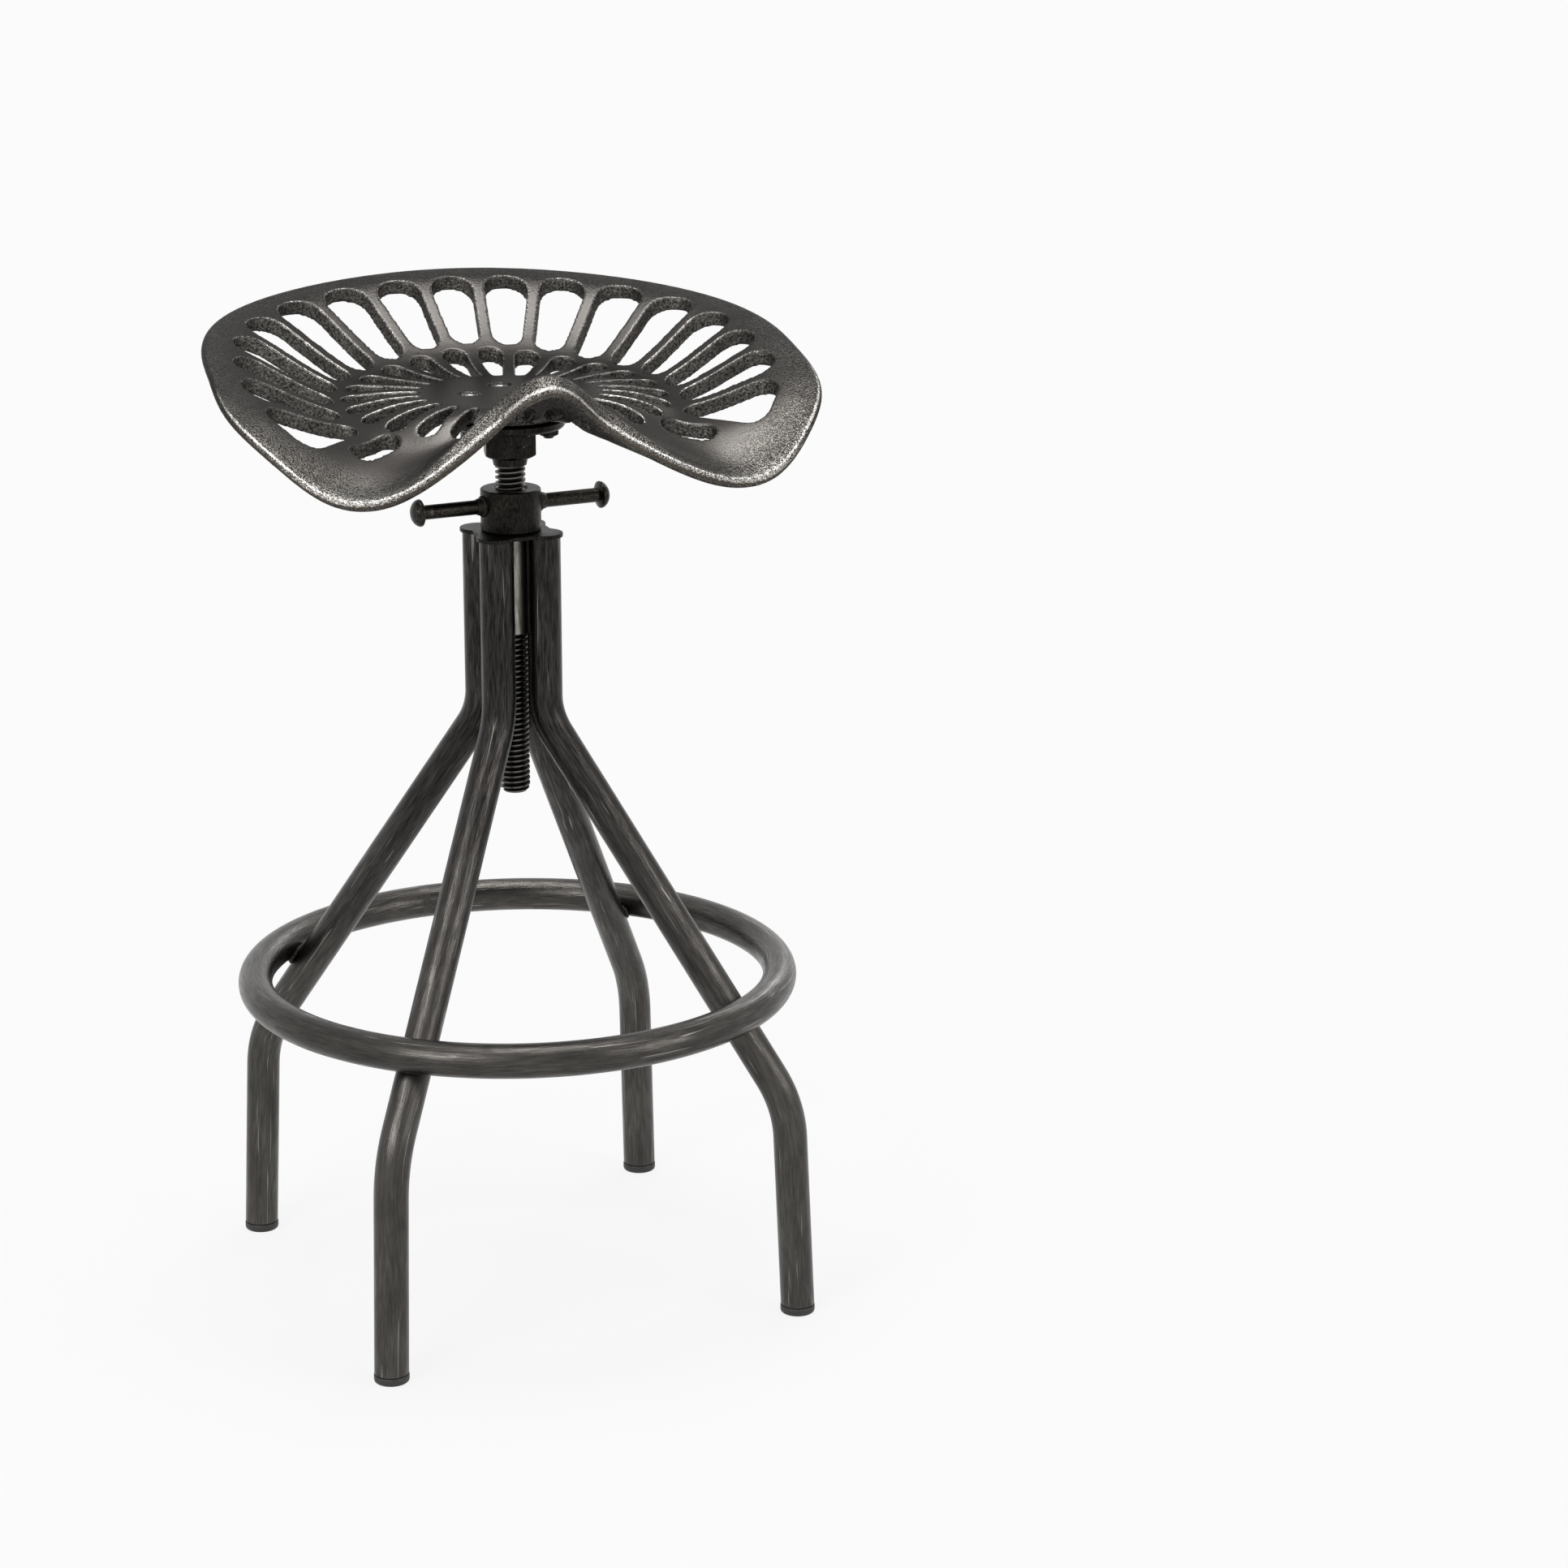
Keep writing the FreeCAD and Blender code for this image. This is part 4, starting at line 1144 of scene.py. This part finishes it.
@dataclass
class CastSeat:
    """The cast seat, with its sand-cast edges rounded and its wear and painted highlight marked.

    Wear and painted highlight make a line just inside the outline, full from crest_front forward
    and faint behind. On the front lobes, which lie lower than the disc by the lobe drops, it
    spreads inwards. The slots' edges are marked as far as they stand out.
    """

    voxel: float = 1.2
    merge: float = 0.002
    smoothing: int = 4
    pulls: tuple[float, float] = (0.62, -0.53)
    triangles: int = 190000
    sectors: int = 720
    crest_inset: float = 2.2
    crest_width: float = 0.9
    crest_zone: float = 9.0
    crest_front: float = -90.0
    crest_behind: float = 0.1
    lobe_drops: tuple[float, float] = (45.0, 5.0)
    lobe_calm: float = 0.4
    lobe_spread: float = 30.0
    lobe_wear_and_highlight: float = 0.5
    slot_gain: float = 9.0
    slot_start: float = 0.35
    slot_wear_and_highlight: float = 0.75
    rim_zone: float = 70.0
    disc_top: float = 678.5

    def make(self) -> None:
        """Rounds every edge of the casting, cuts the bolts' mouths and fits it."""
        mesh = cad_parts["seat_pan"].data.copy()
        with edited(mesh) as shape:
            bmesh.ops.remove_doubles(shape, verts=shape.verts, dist=self.merge * MM)
        mesh = changed(mesh, "REMESH", mode="VOXEL", voxel_size=self.voxel * MM)
        self._soften(mesh)
        share = self.triangles / (2 * len(mesh.polygons))
        mesh = self._drilled(changed(mesh, "DECIMATE", ratio=min(1.0, share)))
        seat = dressed("seat_casting", mesh, CAST_IRON, smooth_to=180.0)
        fit(seat, Body.SEAT, "cast_seat", "seat_pan")
        LOG.info("seat casting has %d faces", len(mesh.polygons))

    def _drilled(self, mesh: Mesh) -> Mesh:
        """Cuts the mouths over the countersunk bolts cleanly, paints their lips pale as wear and
        painted highlight, and marks their insides for painted shade.

        Args:
            mesh: The casting's mesh.

        Returns:
            The mesh with its four mouths.
        """
        top = self.disc_top
        rings = [(0, top - 7.0), (4.4, top - 7.0), (7.7, top - 6.5), (8.0, top - 5.0),
                 (8.2, top - 1.4), (8.4, top - 0.8), (8.9, top - 0.25), (9.8, top + 0.1),
                 (11.0, top + 2.0), (0, top + 2.0)]
        single = dressed("mouth", turned(rings, 48), CAST_IRON)
        mouths = COPIES.mesh({"Piece": single, "Count": 4, "Radius": BOLT_CIRCLE * MM,
                              "Material": CAST_IRON.material()})
        # The lip gets wear and painted highlight; below it rim is -1, for the mouth's painted
        # shade.
        lip = [float(point.co.z > (top - 0.9) * MM) for point in mouths.vertices]
        store(mouths, "wear", lip)
        store(mouths, "rim", [share - 1.0 for share in lip])
        tool = linked("mouths", mouths)
        drilled = changed(mesh, "BOOLEAN", object=tool, operation="DIFFERENCE", solver="EXACT")
        for item in (tool, single):
            bpy.data.objects.remove(item)
        return drilled

    def _soften(self, mesh: Mesh) -> None:
        """Smooths a mesh without shrinking it and stores its wear and painted highlight, and its
        rim.

        Args:
            mesh: The casting's mesh.
        """
        count = len(mesh.vertices)
        points, normals = np.empty(count * 3), np.empty(count * 3)
        mesh.vertices.foreach_get("co", points)
        points = points.reshape(-1, 3)
        ends = np.empty(len(mesh.edges) * 2, dtype=np.int64)
        mesh.edges.foreach_get("vertices", ends)
        first, second = ends[0::2], ends[1::2]
        links = np.bincount(first, minlength=count) + np.bincount(second, minlength=count)

        def around(values: np.ndarray) -> np.ndarray:
            """Averages each point's neighbours."""
            total = np.zeros_like(values)
            np.add.at(total, first, values[second])
            np.add.at(total, second, values[first])
            return total / links.reshape(-1, *([1] * (values.ndim - 1)))

        for _ in range(self.smoothing):
            for pull in self.pulls:
                points += (around(points) - points) * pull
        mesh.vertices.foreach_set("co", points.ravel())
        mesh.update()
        mesh.vertices.foreach_get("normal", normals)
        normals = normals.reshape(-1, 3)
        stand = ((points - around(points)) * normals).sum(axis=1) / (self.voxel * MM)
        for _ in range(2):
            stand = (stand + around(stand)) / 2
        inside = self._inside(points)
        front = (self.crest_front * MM, 0.0)
        toward_front = np.interp(points[:, 1], front, (1.0, self.crest_behind))
        drops = [(self.disc_top - drop) * MM for drop in self.lobe_drops]
        low = np.interp(points[:, 2], drops, (1.0, 0.0)) * (points[:, 1] < 0)
        # A pale line just inside the outline, full at the front: wear and a painted highlight.
        crest = np.exp(-((inside - self.crest_inset) / self.crest_width) ** 2)
        crest *= toward_front * (1 - self.lobe_calm * low)
        # Spread over the low front lobes: rubbing wear and a painted highlight.
        low_sheen = np.exp(-np.clip(inside, 0, None) / (1 + self.lobe_spread * low))
        low_sheen *= low * self.lobe_wear_and_highlight
        # Pale slot edges where they stand out: wear and a painted highlight.
        slots = np.clip(stand * self.slot_gain - self.slot_start, 0, 1) * self.slot_wear_and_highlight
        wear = np.maximum(np.where(inside < self.crest_zone, crest, slots), low_sheen)
        store(mesh, "wear", wear * (normals[:, 2] > 0.1))
        store(mesh, "rim", np.clip(1 - inside / self.rim_zone, 0, 1))

    def _inside(self, points: np.ndarray) -> np.ndarray:
        """Measures how far points are inside the casting's outline, seen from above.

        Args:
            points: The points, in metres.

        Returns:
            Their distances, in millimetres.
        """
        reach = np.hypot(points[:, 0], points[:, 1])
        turn = (np.arctan2(points[:, 1], points[:, 0]) / np.pi + 1) * self.sectors / 2
        rim = np.zeros(self.sectors)
        np.maximum.at(rim, turn.astype(int) % self.sectors, reach)
        rim = (np.roll(rim, 1) + rim + np.roll(rim, -1)) / 3
        slant = (np.roll(rim, -1) - np.roll(rim, 1)) / (rim * 4 * np.pi / self.sectors)
        rim, slant = (np.interp(turn, np.arange(self.sectors) + 0.5, values, period=self.sectors)
                      for values in (rim, slant))
        return (rim - reach) / np.sqrt(1 + slant ** 2) / MM


class Lamp(NamedTuple):
    """A square soft lamp: its place and its side in metres, and its power in watts."""

    name: str
    place: Place
    side: float
    power: float


@dataclass
class Studio:
    """The camera at the photograph's place, the pale floor and plain soft light, in metres."""

    eye: Place = (-0.7114, -2.9162, 1.2477)
    look: Place = (0.28896, 0.91646, -0.27680)
    roll: float = 0.104
    lens: float = 96.88
    paper: str = "#fbfbfb"
    lit: str = "#505050"
    matt: str = "#e4e4e4"
    lit_reach: tuple[float, float] = (0.45, 1.3)
    floor_side: float = 60.0
    fill: float = 0.886
    surround: float = 0.45
    aim: Place = (0.0, 0.0, 0.45)
    lamps: tuple[Lamp, ...] = (Lamp("key", (-1.9, -1.7, 2.1), 1.3, 43.0),
                               Lamp("fill", (2.0, -1.9, 1.5), 1.2, 17.0),
                               Lamp("crown", (0.1, 0.2, 2.8), 1.3, 54.0),
                               Lamp("rim", (1.7, 1.9, 1.6), 1.0, 9.0))

    def make(self) -> None:
        """Sets up the view, the camera, the floor, the world and the lamps."""
        bpy.context.scene.view_settings.view_transform = "Standard"
        self._make_camera()
        self._make_floor()
        self._make_world()
        for lamp in self.lamps:
            self._make_lamp(lamp)

    def _make_camera(self) -> None:
        """Places the camera."""
        data = bpy.data.cameras.new("camera")
        data.lens, data.sensor_width, data.clip_end = self.lens, 36.0, 100.0
        camera = linked("camera", data)
        turn = Vector(self.look).to_track_quat("-Z", "Y").to_matrix().to_4x4()
        camera.matrix_world = (Matrix.Translation(self.eye) @ turn
                               @ Matrix.Rotation(math.radians(self.roll), 4, "Z"))
        bpy.context.scene.camera = camera

    def _make_floor(self) -> None:
        """Lays a wide pale floor that keeps the stool's soft shadow.

        What the eye sees is one even off-white: near the stool a lit part with its shadow and a
        glow that fills it up, further out the glow alone.
        """
        half = self.floor_side / 2
        mesh = bpy.data.meshes.new("floor")
        mesh.from_pydata([(-half, -half, 0), (half, -half, 0), (half, half, 0),
                          (-half, half, 0)], [], [(0, 1, 2, 3)])
        material = bpy.data.materials.new("pale_floor")
        tree = blank_tree(material)
        paper = linear(self.paper)
        place = add(tree, "TexCoord").outputs["Object"]
        reach = add(tree, "VectorMath", [place], operation="LENGTH")
        far = add(tree, "MapRange", [reach, *self.lit_reach], interpolation_type="SMOOTHERSTEP")
        lit = add(tree, "BsdfDiffuse", [linear(self.lit)])
        fill = add(tree, "Emission", [paper, self.fill])
        near = add(tree, "AddShader", [lit, fill])
        glow = add(tree, "Emission", [paper, 1.0])
        shown = add(tree, "MixShader", [far, near, glow])
        matt = add(tree, "BsdfDiffuse", [linear(self.matt)])
        either = add(tree, "MixShader", [self._seen(tree), matt, shown])
        add(tree, "OutputMaterial", [either])
        mesh.materials.append(material)
        linked("studio_floor", mesh)

    def _make_world(self) -> None:
        """Gives the scene a white surround for the eye and for reflections."""
        world = bpy.data.worlds.new("white_surround")
        bpy.context.scene.world = world
        tree = blank_tree(world)
        strength = add(tree, "MapRange", [self._seen(tree), 0.0, 1.0, self.surround, 1.0])
        light = add(tree, "Background", [linear(self.paper), strength])
        add(tree, "OutputWorld", [light])

    @staticmethod
    def _seen(tree: NodeTree) -> Any:
        """Tells the rays that the eye or a mirroring or clear surface sees.

        Args:
            tree: The node tree.

        Returns:
            A node that gives 1 for them.
        """
        ray = add(tree, "LightPath")
        seen: Any = ray.outputs["Is Camera Ray"]
        for kind in ("Is Glossy Ray", "Is Transmission Ray"):
            seen = add(tree, "Math", [seen, ray.outputs[kind]], operation="MAXIMUM")
        return seen

    def _make_lamp(self, lamp: Lamp) -> None:
        """Adds a lamp that faces the stool.

        Args:
            lamp: The lamp.
        """
        data = bpy.data.lights.new(lamp.name, "AREA")
        data.shape, data.size, data.energy = "SQUARE", lamp.side, lamp.power
        made = linked(lamp.name, data)
        aim = Vector(self.aim) - Vector(lamp.place)
        made.rotation_euler = aim.to_track_quat("-Z", "Y").to_euler()
        made.location = lamp.place


def main() -> None:
    """Builds and dresses every sub-assembly."""
    logging.basicConfig(level=logging.INFO, format="%(name)s: %(message)s")
    Studio().make()
    for name in LEG_TURNS:
        Leg(name).make()
    for assembly in (FootRing(), Column(), LockNut(), Screw(), SeatMount(), CastSeat()):
        assembly.make()
        LOG.info("%s is made", type(assembly).__name__)


if __name__ == "__main__":
    main()
